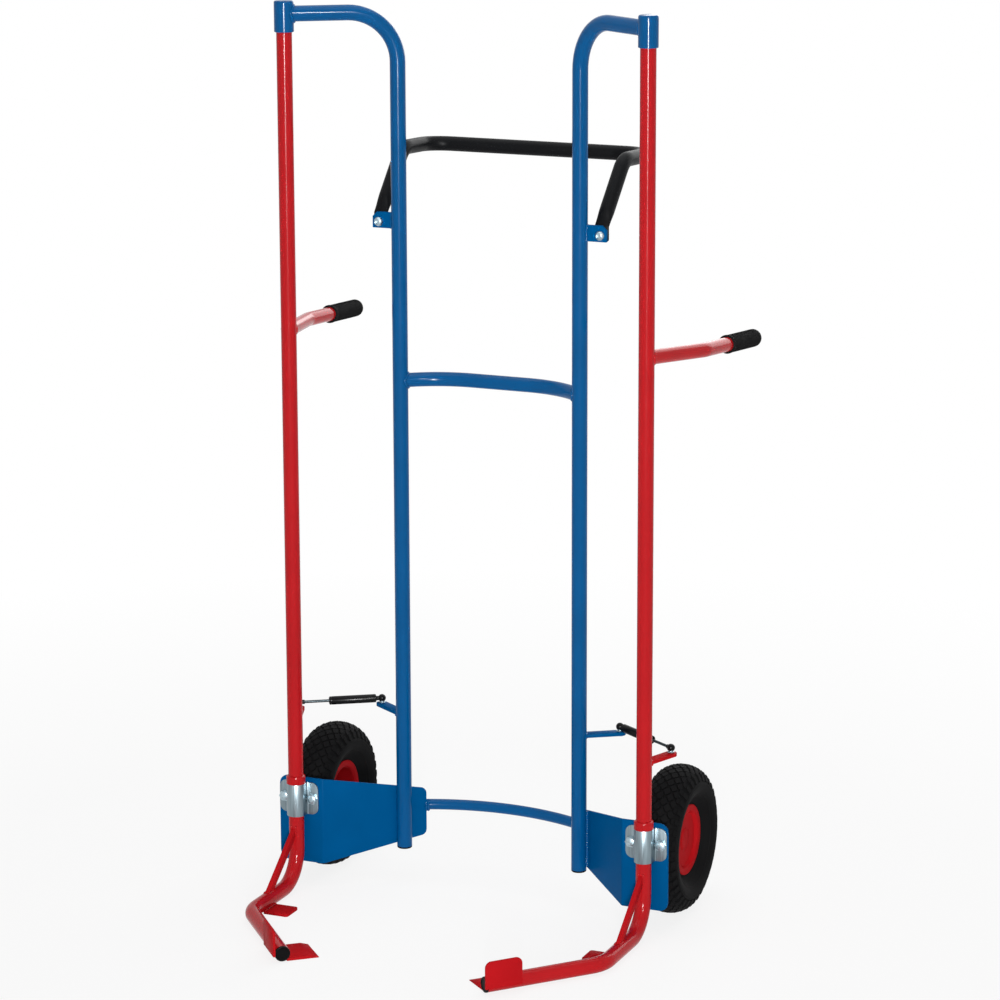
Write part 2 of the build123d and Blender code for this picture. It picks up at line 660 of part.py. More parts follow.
# Moulded plug in the open end of the foot tube
with BuildPart() as foot_plug:
    with BuildSketch(Plane(toe_end, z_dir=toe_dir)):
        Circle(tube_r)
    extrude(amount=PLUG_RIM)
    chamfer(foot_plug.edges(), length=0.8)
    with BuildSketch(Plane(toe_end, z_dir=-toe_dir)):
        Circle(tube_bore - STUB_FIT)
    extrude(amount=PLUG_STUB)
save_pair(foot_plug, "foot_plug")

# Lever on the arm for the moving end of the gas spring
lever_run = Vector(LEVER_OUT, LEVER_BACK, 0)
with BuildPart() as spring_lever:
    with BuildSketch(Plane((ARM_X, ARM_Y, bracket_top), x_dir=lever_run, z_dir=(0, 0, -1))):
        with Locations((lever_run.length / 2, 0)):
            Rectangle(lever_run.length, LEVER_W)
        with Locations((lever_run.length, 0)):
            Circle(LEVER_W / 2)
            Circle(STUD_R + STUB_FIT, mode=Mode.SUBTRACT)
    extrude(amount=LEVER_T)
    with Locations((ARM_X, ARM_Y, bracket_top)):
        Cylinder(tube_r + WELD_GAP, 3 * LEVER_W, mode=Mode.SUBTRACT)
save_pair(spring_lever, "spring_lever")

# Ball stud riveted into the lever
with BuildPart() as arm_ball_stud:
    with Locations(arm_ball):
        Sphere(BALL_R)
    with BuildSketch(Plane((arm_ball.X, arm_ball.Y, bracket_top - LEVER_T - STUD_NUT_H))):
        Circle(STUD_NUT_R)
    extrude(amount=STUD_NUT_H)
    with BuildSketch(Plane((arm_ball.X, arm_ball.Y, bracket_top - LEVER_T))):
        Circle(STUD_R)
    extrude(amount=SPRING_Z - bracket_top + LEVER_T)
save_pair(arm_ball_stud, "arm_ball_stud")

# Side handle: a bent tube coped to the arm, reaching back and falling slightly
fall = tan(radians(HANDLE_DROP))
handle_knee = Vector(
    ARM_X + HANDLE_OUT_1, ARM_Y + HANDLE_BACK_1, HANDLE_Z - fall * HANDLE_BACK_1
)
handle_end = Vector(
    ARM_X + HANDLE_OUT_2, ARM_Y + HANDLE_BACK_2, HANDLE_Z - fall * HANDLE_BACK_2
)
grip_dir = (handle_end - handle_knee).normalized()
with BuildPart() as handle_tube:
    with BuildLine() as handle_path:
        FilletPolyline(
            (ARM_X, ARM_Y, HANDLE_Z), handle_knee, handle_end, radius=HANDLE_BEND
        )
    handle_wire = handle_path.wires()[0]
    with BuildSketch(Plane(handle_wire @ 0, z_dir=handle_wire % 0)):
        Circle(GRIP_TUBE_OD / 2)
        Circle(GRIP_TUBE_OD / 2 - TUBE_WALL, mode=Mode.SUBTRACT)
    sweep(path=handle_wire)
    with Locations((ARM_X, ARM_Y, HANDLE_Z)):
        Cylinder(tube_r + WELD_GAP, 4 * GRIP_TUBE_OD, mode=Mode.SUBTRACT)
save_pair(handle_tube, "handle_tube")

# Rubber grip pushed over the end of the side handle
grip_start = handle_end + grip_dir * (GRIP_END - GRIP_LENGTH)
with BuildPart() as grip:
    with BuildSketch(Plane(grip_start, z_dir=grip_dir)):
        Circle(GRIP_OD / 2)
    extrude(amount=GRIP_LENGTH)
    fillet(grip.edges().sort_by(Axis(grip_start, grip_dir))[-1], radius=GRIP_OD / 3)
    with BuildSketch(Plane(grip_start, z_dir=grip_dir)):
        Circle(GRIP_FLANGE_OD / 2)
    extrude(amount=GRIP_FLANGE_W)
    with BuildSketch(Plane(grip_start, z_dir=grip_dir)):
        Circle(GRIP_TUBE_OD / 2 + STUB_FIT)
    extrude(amount=GRIP_LENGTH - GRIP_END, mode=Mode.SUBTRACT)
save_pair(grip, "grip")

# Tyre: hollow round carcass with a staggered block tread
wheel_centre = (WHEEL_X, wheel_y, WHEEL_R)
wheel_axis = Axis(wheel_centre, (1, 0, 0))
section_plane = Plane(wheel_centre, x_dir=(1, 0, 0), z_dir=(0, -1, 0))
bead_a = RIM_WIDTH / 2 - RIM_WALL - STUB_FIT
bead_r = RIM_BARREL_R + STUB_FIT
half_w = TYRE_W / 2
bulge_r = (RIM_FLANGE_R + BEAD_H + WHEEL_R) / 2
half_h = WHEEL_R - bulge_r


def section(angle, inset):
    """Point of the tyre's round section, inset from its skin."""
    run = radians(angle)
    return ((half_w - inset) * cos(run), bulge_r + (half_h - inset) * sin(run))


outer_half = [(bead_a, bead_r), (bead_a, RIM_FLANGE_R + BEAD_H)]
outer_half += [section(angle, 0) for angle in (-40, -20, 0, 20, 40, 58, 74, 90)]
inner_half = [section(angle, TYRE_WALL) for angle in (90, 60, 30, 0, -30)]
inner_half += [(bead_a - TYRE_WALL, RIM_FLANGE_R + BEAD_H), (bead_a - TYRE_WALL, bead_r)]
outer_other = [(-a, r) for a, r in reversed(outer_half[:-1])]
inner_other = [(-a, r) for a, r in reversed(inner_half[1:])]
tread_cuts = []
for row, angle in ((0, 90), (0.5, 52), (0.5, 128)):
    along, radius = section(angle, 0)
    for block in range(TREAD_BLOCKS):
        turn = 2 * pi * (block + row) / TREAD_BLOCKS
        out = Vector(0, cos(turn), sin(turn))
        lean = Vector(cos(radians(angle)), 0, 0) + out * sin(radians(angle))
        spot = Vector(*wheel_centre) + Vector(along, 0, 0) + out * radius
        tread_cuts.append(Plane(spot, x_dir=Vector(0, -sin(turn), cos(turn)), z_dir=lean))
with BuildPart() as tyre:
    with BuildSketch(section_plane):
        with BuildLine():
            Polyline(*outer_half, *outer_other, *inner_other, *inner_half[:-1], close=True)
        make_face()
    revolve(axis=wheel_axis)
    with Locations(*tread_cuts):
        Box(TREAD_GROOVE, TREAD_REACH, 2 * TREAD_DEPTH, mode=Mode.SUBTRACT)
save_pair(tyre, "tyre")

# Rim: pressed barrel with two flanges, dished outer face and a tubular hub
with BuildPart() as rim:
    with BuildSketch(section_plane):
        with BuildLine():
            face_back = RIM_FACE - RIM_WALL
            barrel_in = RIM_BARREL_R - RIM_WALL
            edge = RIM_WIDTH / 2
            Polyline(
                (RIM_FACE, BEARING_R + STUB_FIT),
                (RIM_FACE, barrel_in),
                (edge, barrel_in),
                (edge, RIM_FLANGE_R),
                (edge - RIM_WALL, RIM_FLANGE_R),
                (edge - RIM_WALL, RIM_BARREL_R),
                (RIM_WALL - edge, RIM_BARREL_R),
                (RIM_WALL - edge, RIM_FLANGE_R),
                (-edge, RIM_FLANGE_R),
                (-edge, barrel_in),
                (face_back, barrel_in),
                (face_back, HUB_R),
                (hub_back, HUB_R),
                (hub_back, BEARING_R + STUB_FIT),
                close=True,
            )
        make_face()
    revolve(axis=wheel_axis)
save_pair(rim, "rim")

# Pressed cover that closes the outer end of the hub
with BuildPart() as hub_cover:
    with BuildSketch(Plane((WHEEL_X + RIM_FACE, wheel_y, WHEEL_R), z_dir=(1, 0, 0))):
        Circle(HUB_COVER_R)
    extrude(amount=HUB_COVER_T)
    chamfer(hub_cover.edges().group_by(Axis.X)[-1], length=HUB_COVER_T / 2)
    with BuildSketch(Plane((WHEEL_X + RIM_FACE, wheel_y, WHEEL_R), z_dir=(-1, 0, 0))):
        Circle(BEARING_R)
        Circle(BEARING_R - HUB_COVER_T, mode=Mode.SUBTRACT)
    extrude(amount=HUB_COVER_DEEP)
save_pair(hub_cover, "hub_cover")

# Two bearings in the hub
with BuildPart() as wheel_bearings:
    for start in (inner_bearing, outer_bearing):
        with BuildSketch(Plane((WHEEL_X + start, wheel_y, WHEEL_R), z_dir=(1, 0, 0))):
            Circle(BEARING_R)
            Circle(AXLE_OD / 2 + RUN_FIT, mode=Mode.SUBTRACT)
        extrude(amount=BEARING_W)
save_pair(wheel_bearings, "wheel_bearings")

# Cap on the axle end that keeps the wheel on
with BuildPart() as axle_cap:
    with BuildSketch(Plane((axle_end, wheel_y, WHEEL_R), z_dir=(1, 0, 0))):
        Circle(AXLE_COLLAR_R)
    extrude(amount=AXLE_CAP_T)
save_pair(axle_cap, "axle_cap")

# Centre the assembly over the floor point below its own box, then write the pieces
front = min(piece.bounding_box().min.Y for piece in pieces.values())
back = max(piece.bounding_box().max.Y for piece in pieces.values())
os.makedirs("parts", exist_ok=True)
for name, piece in pieces.items():
    centred = piece.moved(Location((0, -(front + back) / 2, 0)))
    centred.label = name
    export_step(centred, f"parts/{name}.step")
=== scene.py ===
"""Tyre hand truck: finished pieces, materials and stage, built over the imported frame.

Positions are given in the drawing's millimetres and turned into the frame's metres by at().
"Right" is +X, the load side is -Y. Each pair is built once for each side.
"""

import math

import bmesh
import bpy
from mathutils import Matrix, Quaternion, Vector


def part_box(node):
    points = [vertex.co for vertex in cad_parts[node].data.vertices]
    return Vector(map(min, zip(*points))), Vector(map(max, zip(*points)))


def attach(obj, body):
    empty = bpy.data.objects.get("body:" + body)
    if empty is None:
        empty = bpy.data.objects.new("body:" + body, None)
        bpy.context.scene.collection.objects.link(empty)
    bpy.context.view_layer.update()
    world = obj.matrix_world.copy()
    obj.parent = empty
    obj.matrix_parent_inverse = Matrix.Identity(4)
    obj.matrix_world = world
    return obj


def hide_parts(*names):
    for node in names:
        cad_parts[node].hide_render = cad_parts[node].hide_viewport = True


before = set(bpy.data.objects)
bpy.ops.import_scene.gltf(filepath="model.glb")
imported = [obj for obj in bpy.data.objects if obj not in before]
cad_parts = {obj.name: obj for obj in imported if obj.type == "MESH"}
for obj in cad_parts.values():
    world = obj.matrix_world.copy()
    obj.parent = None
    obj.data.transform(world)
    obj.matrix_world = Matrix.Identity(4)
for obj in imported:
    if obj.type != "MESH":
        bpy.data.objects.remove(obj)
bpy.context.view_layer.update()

bl_info = {
    "name": "Tyre hand truck",
    "version": (1, 0, 0),
    "blender": (4, 5, 0),
    "location": "View3D > Sidebar > Hand truck",
    "description": "Builds the tyre hand truck's finished pieces over its CAD frame",
    "category": "Object",
}

MM = 0.001
UP = Vector((0, 0, 1))
SIDES = (("right", 1), ("left", -1))
TUBE_SIDES = 40

# Places and sizes in the drawing, millimetres

# Uprights, pivot sleeves and tube plugs
UPRIGHT_X = 167.5
UPRIGHT_BOTTOM = 66.0
TOP_ARM_Z = 1550.0
TOP_BEND = 85.0
SLEEVE_BOTTOM = 1519.5
SLEEVE_TOP = 1572.5
SLEEVE_CAP = 4.0
RUN_FIT = 0.1
FACE_GAP = 0.02
PLUG_STUB = 16.0
PLUG_STUB_R = 10.8
PLUG_RIM = 3.5
PLUG_RIM_R = 13.45

# Crossbar, and where a branch tube starts inside the tube it is welded to
MID_BAR_Z = 912.0
MID_BAR_FLAT_X = 105.0
MID_BAR_BOW = 46.0
MID_BAR_BEND = 160.0
BRANCH_START = 5.0

# Push handle and its lugs
LUG_X = 204.5
LUG_Z = 1188.5
LUG_T = 6.0
LUG_ROOT = 11.0
LUG_BELOW = 11.0
LUG_ABOVE = 17.0
LUG_END = 12.0
LUG_CLIP = 8.0
PUSH_TAB_W = 26.0
PUSH_TAB_T = 6.4
PUSH_TAB_BELOW = 10.0
PUSH_TAB_ABOVE = 14.5
PUSH_FLARE = 34.0
PUSH_X = 206.0
PUSH_KNEE = (102.0, 1303.0)
PUSH_BACK = (220.0, 1297.0)
PUSH_BEND = 42.0

# Wheel plates: flange in front, wing towards the upright
PLATE_FRONT = -92.25
PLATE_FOLD_X = 284.0
PLATE_OUTER_X = 368.0
PLATE_TOP = 201.0
PLATE_BOTTOM = 45.0
PLATE_INNER_TOP = 163.0
PLATE_INNER_BOTTOM = 77.5
PLATE_OUTER_CORNER = 16.0
PLATE_INNER_CORNER = 9.0
PLATE_BEND = 7.0
WING_SHORT = 3.8
COLLAR_RELIEF_R = 17.3

# Saddle clamps
CLAMP_BOTTOM = 135.0
CLAMP_TOP = 193.5
CLAMP_EAR = 37.5
CLAMP_EAR_CORNER = 13.0
CLAMP_BEND = 5.5
CLAMP_BOLT_X = 27.0

# Swivel arms and their feet
ARM_X = 329.0
ARM_Y = -106.0
ARM_HEAD_PLAY = 1.0
COLLAR_TOP = 208.5
COLLAR_R = 17.0
COLLAR_BORE_R = 13.5
FOOT_BEND = 60.0
FOOT_LIFT = 1.0
FOOT_LENGTH = 182.0
FOOT_TIP = 218.0
FOOT_TURN = math.radians(41.0)
BRACE_SET = 8.5
BRACE_TOP = 108.0
BRACE_FOOT = 116.0
BRACE_W = 8.0
BRACE_T = 14.0
SOLE_BUTT = 8.0
HEEL_NEAR = 106.0
HEEL_LENGTH = 44.0
HEEL_REACH = 54.0
HEEL_CORNER = 5.0
TOE_LENGTH = 66.0
TOE_REACH = 64.0
TOE_REACH_REAR = 62.0
TOE_BEVEL = 14.0
TOE_EDGE = 1.0
TAB_OUT = 13.48
TAB_AHEAD = 8.0
TAB_LENGTH = 67.0
TAB_BOTTOM = 12.0
TAB_TOP = 59.0
TAB_CORNER = 11.0
TAB_T = 4.0

# Side handles: knee and end lie so far outwards and so far back from the arm
HANDLE_Z = 1008.0
HANDLE_FALL = math.tan(math.radians(4.4))
HANDLE_KNEE = (43.0, 160.0)
HANDLE_END = (54.0, 382.0)
HANDLE_BEND = 70.0
GRIP_LENGTH = 130.0
GRIP_END = 5.0
GRIP_BORE_R = 12.55
RIB_START = 8.0
RIB_SPAN = 108.0
RIB_T = 1.1

# Gas springs, their ball studs and the flat bars that carry them
SPRING_Z = 321.5
FRAME_BALL = (228.0, 40.0)
ARM_BALL = (353.0, -41.4)
BRACKET_TOP = 313.0
BRACKET_T = 6.0
BRACKET_W = 20.0
BRACKET_ROOT = 8.0
BRACKET_END = 10.0
BRACKET_CORNER = 9.7
BALL_R = 5.0
SOCKET_R = 7.0
SOCKET_BORE_R = 5.1
CYLINDER_R = 7.5
CYLINDER_LENGTH = 95.0
CYLINDER_BORE_R = 5.7
ROD_R = 2.5
ROD_END = 86.0

# Wheels and axle
WHEEL_X = 331.0
WHEEL_Y = 45.75
WHEEL_Z = 130.0
BEAD_X = 19.95
BEAD_R = 65.0
TYRE_SEAT_R = 52.1
TREAD_SIDE_ROWS = 5
TREAD_BAR_ROWS = 2
TREAD_ROW_TURN = 13.5
AXLE_BOW = 35.0
AXLE_BOW_HALF = 165.0
AXLE_KINK = 40.0
AXLE_KINK_STEPS = 8
AXLE_BOW_STEPS = 24
SHOULDER_R = 13.0
SHOULDER_OUT = 25.3
SHOULDER_IN = 31.3

# Fasteners: the last two are a hex's corner radius and its dome's, over the width across flats
BOLT_R = 5.0
WASHER_R = 9.6
WASHER_T = 1.6
NUT_REACH = 2.0
HEX_CORNER = 0.57735
HEX_DOME = 0.47

# Weld seams: the first two thin or widen a bead on plate and on the wing
BEAD_THIN = 0.8
BEAD_WIDE = 1.3
WING_SEAM = (72.0, 173.0)
WING_SEAM_HALF = 7.2
WING_SEAM_SINK = 1.2
SOLE_SEAM_Z = 5.3
SOLE_SEAM_IN = 10.2
TAB_SEAM_OUT = 12.7
TAB_SEAM_UP = 4.8
BRACE_SEAM = 16.0
BRACE_SEAM_HALF = 4.2
BRACE_CORNER = 4.243

# Stage: floor and lights in metres and watts, each light with its place, width and height
FLOOR_HALF = 30.0
LIGHT_AIM = Vector((0, 0, 0.8))
LIGHTS = (
    ("front_softbox", (2.54, -5.76, 2.3), 0.6, 0.6, 95.0),
    ("front_strip", (2.54, -5.76, 1.0), 0.14, 0.9, 145.0),
    ("gloss_strip_front", (2.54, -5.76, 1.2), 0.2, 0.6, 420.0),
    ("gloss_strip_side", (3.93, -5.03, 3.1), 0.2, 0.6, 260.0),
    ("top_softbox", (0.0, 0.3, 4.2), 3.4, 3.4, 60.0),
    ("back_softbox", (0.4, 4.6, 2.6), 4.0, 3.0, 95.0),
)

# Camera: place in the drawing, yaw, pitch and roll in degrees, focal length over image width
CAMERA_PLACE = (2426.145, -5595.78, 2162.363)
CAMERA_TURN = (23.26816, 12.57, 0.17639)
CAMERA_FOCAL = 3.62814
CAMERA_SHIFT = -0.05
SENSOR = 36.0

sleeve_low, sleeve_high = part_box("right_top_sleeve")
SHIFT = (sleeve_low.y + sleeve_high.y) / 2 / MM - ARM_Y


def at(x, y, z):
    """Drawing millimetres to a point of the frame in metres."""
    return Vector((x, y + SHIFT, z)) * MM


def mirror_x(point):
    """The same point on the other side of the truck."""
    return Vector((-point.x, point.y, point.z))


def srgb(code):
    """Hex sRGB colour to linear RGBA."""
    values = [int(code[i : i + 2], 16) / 255 for i in (1, 3, 5)]
    linear = [v / 12.92 if v <= 0.04045 else ((v + 0.055) / 1.055) ** 2.4 for v in values]
    return (*linear, 1.0)


class TruckSizes(bpy.types.PropertyGroup):
    """Stock sizes that the pieces are drawn with."""

    tube_od: bpy.props.FloatProperty(
        name="Tube", description="Outside diameter of uprights and arms",
        default=0.0269, unit="LENGTH",
    )
    sleeve_od: bpy.props.FloatProperty(
        name="Sleeve", description="Outside diameter of the pivot sleeves",
        default=0.0337, unit="LENGTH",
    )
    bar_od: bpy.props.FloatProperty(
        name="Crossbar", description="Outside diameter of crossbar and side handles",
        default=0.025, unit="LENGTH",
    )
    push_od: bpy.props.FloatProperty(
        name="Push handle", description="Outside diameter of the push handle",
        default=0.026, unit="LENGTH",
    )
    axle_od: bpy.props.FloatProperty(
        name="Axle", description="Diameter of the bowed axle bar",
        default=0.019, unit="LENGTH",
    )
    plate_t: bpy.props.FloatProperty(
        name="Wheel plate", description="Thickness of the folded wheel plates",
        default=0.004, unit="LENGTH",
    )
    strap_t: bpy.props.FloatProperty(
        name="Clamp strap", description="Thickness of the saddle clamps",
        default=0.003, unit="LENGTH",
    )
    sole_t: bpy.props.FloatProperty(
        name="Foot plates", description="Thickness of heel plate, toe plate and stop tab",
        default=0.005, unit="LENGTH",
    )
    weld: bpy.props.FloatProperty(
        name="Weld bead", description="Radius of the weld beads",
        default=0.0026, unit="LENGTH",
    )
    tyre_r: bpy.props.FloatProperty(
        name="Tyre radius", description="Radius over the tread", default=0.13, unit="LENGTH",
    )
    tread_blocks: bpy.props.IntProperty(
        name="Tread blocks", description="Blocks in each row of the tread", default=38,
    )
    tyre_w: bpy.props.FloatProperty(
        name="Tyre width", description="Width over the sidewalls", default=0.08, unit="LENGTH",
    )
    tread_depth: bpy.props.FloatProperty(
        name="Tread depth", description="Height of a tread block", default=0.0028,
        unit="LENGTH",
    )
    grip_od: bpy.props.FloatProperty(
        name="Grip", description="Diameter of the grips", default=0.031, unit="LENGTH",
    )
    grip_ribs: bpy.props.IntProperty(
        name="Grip ribs", description="Raised rings on each grip", default=24,
    )
    hex_af: bpy.props.FloatProperty(
        name="Hex size", description="Width across the flats of bolts and nuts",
        default=0.017, unit="LENGTH",
    )


class TruckColours(bpy.types.PropertyGroup):
    """Colours of the finishes."""

    red: bpy.props.FloatVectorProperty(
        name="Red paint", description="Powder coat of the arms", subtype="COLOR", size=4,
        default=srgb("#BF1A20"),
    )
    blue: bpy.props.FloatVectorProperty(
        name="Blue paint", description="Powder coat of the frame", subtype="COLOR", size=4,
        default=srgb("#005893"),
    )
    black: bpy.props.FloatVectorProperty(
        name="Black paint", description="Coat of push handle and gas springs",
        subtype="COLOR", size=4, default=srgb("#121315"),
    )
    zinc: bpy.props.FloatVectorProperty(
        name="Zinc", description="Plating of clamps and fasteners", subtype="COLOR", size=4,
        default=srgb("#87969D"),
    )
    rubber: bpy.props.FloatVectorProperty(
        name="Rubber", description="Tyres and grips", subtype="COLOR", size=4,
        default=srgb("#0D0D0E"),
    )
    rim: bpy.props.FloatVectorProperty(
        name="Rim", description="Coat of the wheel rims", subtype="COLOR", size=4,
        default=srgb("#B8181E"),
    )


# Materials


def add(tree, kind, settings=None, links=None):
    """Adds one node, sets its properties or inputs, and links sockets into it."""
    node = tree.nodes.new(kind)
    for key, value in (settings or {}).items():
        if isinstance(key, str) and hasattr(node, key):
            setattr(node, key, value)
        else:
            node.inputs[key].default_value = value
    for key, source in (links or {}).items():
        tree.links.new(source, node.inputs[key])
    return node


def blank(name):
    """A new material with an empty tree, its Object coordinates and its shader."""
    material = bpy.data.materials.new(name)
    material.use_nodes = True
    tree = material.node_tree
    tree.nodes.clear()
    where = add(tree, "ShaderNodeTexCoord").outputs["Object"]
    shader = add(tree, "ShaderNodeBsdfPrincipled")
    add(tree, "ShaderNodeOutputMaterial", links={"Surface": shader.outputs["BSDF"]})
    return material, tree, where, shader


def shade(colour, factor):
    """The colour made darker or lighter."""
    return (*[min(1.0, c * factor) for c in colour[:3]], 1.0)


def powder_coat(name, colour, gloss, shine=0.1):
    """Powder coat over steel: even colour, clear gloss and a fine orange-peel skin."""
    if name in bpy.data.materials:
        return bpy.data.materials[name]
    material, tree, where, shader = blank(name)
    shader.inputs["IOR"].default_value = 1.5
    shader.inputs["Specular IOR Level"].default_value = shine
    # Cloudy film thickness, patches of about 70 mm
    cloud = add(tree, "ShaderNodeTexNoise", {"Scale": 1 / 0.07, "Detail": 3.0},
                {"Vector": where})
    tone = add(tree, "ShaderNodeMix", {"data_type": "RGBA"},
               {0: cloud.outputs["Fac"]})
    tone.inputs[6].default_value = shade(colour, 0.86)
    tone.inputs[7].default_value = shade(colour, 1.1)
    # Specks of dust under the film, about 4 mm apart
    speck = add(tree, "ShaderNodeTexVoronoi", {"Scale": 1 / 0.004}, {"Vector": where})
    dot = add(tree, "ShaderNodeMapRange",
              {"From Min": 0.02, "From Max": 0.12, "To Min": 0.8, "To Max": 1.0},
              {"Value": speck.outputs["Distance"]})
    fleck = add(tree, "ShaderNodeMix", {"data_type": "RGBA", "blend_type": "MULTIPLY"},
                {6: tone.outputs[2], 7: dot.outputs["Result"]})
    fleck.inputs[0].default_value = 0.5
    tree.links.new(fleck.outputs[2], shader.inputs["Base Color"])
    # Orange peel of about 2.2 mm, drawn coarser than it is so that it shows
    peel = add(tree, "ShaderNodeTexNoise", {"Scale": 1 / 0.0022, "Detail": 1.0},
               {"Vector": where})
    # Gloss that varies with the film
    rough = add(tree, "ShaderNodeMapRange", {"To Min": gloss - 0.04, "To Max": gloss + 0.06},
                {"Value": cloud.outputs["Fac"]})
    bump = add(tree, "ShaderNodeBump", {"Strength": 0.12, "Distance": 0.0003},
               {"Height": peel.outputs["Fac"]})
    tree.links.new(rough.outputs["Result"], shader.inputs["Roughness"])
    tree.links.new(bump.outputs["Normal"], shader.inputs["Normal"])
    return material


def zinc_plate(name, colour, marks):
    """Zinc over steel: grey-blue metal, with marks so many millimetres long in x, y and z."""
    if name in bpy.data.materials:
        return bpy.data.materials[name]
    material, tree, where, shader = blank(name)
    shader.inputs["Metallic"].default_value = 1.0
    # The real marks are finer, and these are as coarse as they need to be to show
    turn = add(tree, "ShaderNodeMapping", {"Scale": [1 / (size * MM) for size in marks]},
               {"Vector": where})
    line = add(tree, "ShaderNodeTexNoise", {"Scale": 1.0, "Detail": 4.0, "Roughness": 0.65},
               {"Vector": turn.outputs["Vector"]})
    spread = add(tree, "ShaderNodeMapRange", {"From Min": 0.3, "From Max": 0.7},
                 {"Value": line.outputs["Fac"]})
    tone = add(tree, "ShaderNodeMix", {"data_type": "RGBA"}, {0: spread.outputs["Result"]})
    tone.inputs[6].default_value = shade(colour, 0.62)
    tone.inputs[7].default_value = shade(colour, 1.12)
    rough = add(tree, "ShaderNodeMapRange", {"To Min": 0.24, "To Max": 0.46},
                {"Value": spread.outputs["Result"]})
    bump = add(tree, "ShaderNodeBump", {"Strength": 0.15, "Distance": 0.0003},
               {"Height": line.outputs["Fac"]})
    tree.links.new(tone.outputs[2], shader.inputs["Base Color"])
    tree.links.new(rough.outputs["Result"], shader.inputs["Roughness"])
    tree.links.new(bump.outputs["Normal"], shader.inputs["Normal"])
    return material


def moulded(name, colour, rough_low, rough_high, grain):
    """Moulded rubber or plastic: near-black and dull, with the mould's grain in millimetres."""
    if name in bpy.data.materials:
        return bpy.data.materials[name]
    material, tree, where, shader = blank(name)
    shader.inputs["IOR"].default_value = 1.5
    shader.inputs["Specular IOR Level"].default_value = 0.05
    # Duller and shinier patches of about 30 mm
    cloud = add(tree, "ShaderNodeTexNoise", {"Scale": 1 / 0.03, "Detail": 4.0},
                {"Vector": where})
    tone = add(tree, "ShaderNodeMix", {"data_type": "RGBA"}, {0: cloud.outputs["Fac"]})
    tone.inputs[6].default_value = shade(colour, 0.7)
    tone.inputs[7].default_value = shade(colour, 1.5)
    rough = add(tree, "ShaderNodeMapRange", {"To Min": rough_low, "To Max": rough_high},
                {"Value": cloud.outputs["Fac"]})
    # Grain of the mould, drawn coarser than it is so that it shows
    fine = add(tree, "ShaderNodeTexNoise", {"Scale": 1 / (grain * MM), "Detail": 3.0},
               {"Vector": where})
    bump = add(tree, "ShaderNodeBump", {"Strength": 0.25, "Distance": 0.0004},
               {"Height": fine.outputs["Fac"]})
    tree.links.new(tone.outputs[2], shader.inputs["Base Color"])
    tree.links.new(rough.outputs["Result"], shader.inputs["Roughness"])
    tree.links.new(bump.outputs["Normal"], shader.inputs["Normal"])
    return material


def finish(kind, colours):
    """The material of one finish of the truck."""
    maker, *values = {
        # Paint on bent tube: glossy, so that the strip lights draw thin lines along it
        "red": (powder_coat, "red_powder_coat_on_steel", colours.red, 0.14),
        "blue": (powder_coat, "blue_powder_coat_on_steel", colours.blue, 0.14),
        # Paint on flat steel and on the rims: duller, so that a flat face keeps one even colour
        "red_sheet": (powder_coat, "red_powder_coat_on_sheet", colours.red, 0.36, 0.008),
        "blue_sheet": (powder_coat, "blue_powder_coat_on_sheet", colours.blue, 0.36, 0.008),
        "rim": (powder_coat, "red_enamel_on_pressed_rim", colours.rim, 0.36, 0.008),
        # Satin black on the push handle, and a shinier, deeper black on the gas springs
        "black": (powder_coat, "black_powder_coat_on_steel", colours.black, 0.42, 0.06),
        "shiny_black": (powder_coat, "black_enamel_on_gas_spring", shade(colours.black, 0.8), 0.22),
        # Cool grey metal: long streaks up the drawn clamps; on bolts an even grain, the zinc made
        # 1.65 times lighter as a painted highlight
        "zinc": (zinc_plate, "zinc_plated_drawn_steel", colours.zinc, (1.42857, 1.42857, 58.8235)),
        "fastener": (zinc_plate, "zinc_plated_forged_bolt", shade(colours.zinc, 1.65),
                     (3.84615, 3.84615, 3.84615)),
        # Ground steel, blackened until it is nearly as dark as the cylinder
        "rod": (zinc_plate, "blackened_ground_rod", shade(colours.zinc, 0.16),
                (1.11111, 1.11111, 1.11111)),
        # Dull rubber with the grain of its mould, and smoother plastic
        "tyre": (moulded, "vulcanised_tyre_rubber", colours.rubber, 0.62, 0.86, 2.8),
        "grip": (moulded, "moulded_grip_rubber", colours.rubber, 0.5, 0.7, 1.6),
        "plastic": (moulded, "moulded_polyamide", shade(colours.rubber, 0.8), 0.35, 0.5, 1.2),
    }[kind]
    return maker(*values)


# Shapes


def piece(name, bm, kind, body, nodes=(), sharp=32.0):
    """Turns a bmesh into a finished piece that rides on a body and stands for CAD nodes."""
    bmesh.ops.remove_doubles(bm, verts=bm.verts, dist=2e-6)
    bmesh.ops.recalc_face_normals(bm, faces=bm.faces)
    mesh = bpy.data.meshes.new(name)
    bm.to_mesh(mesh)
    bm.free()
    return mesh_piece(name, mesh, kind, body, nodes, sharp)


def mesh_piece(name, mesh, kind, body, nodes=(), sharp=32.0):
    """Turns a mesh into a finished piece, smooth but for its sharp edges."""
    mesh.shade_smooth()
    mesh.set_sharp_from_angle(angle=math.radians(sharp))
    mesh.materials.clear()
    mesh.materials.append(finish(kind, bpy.context.scene.truck_colours))
    made = bpy.data.objects.new(name, mesh)
    bpy.context.scene.collection.objects.link(made)
    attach(made, body)
    if nodes:
        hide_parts(*nodes)
    return made


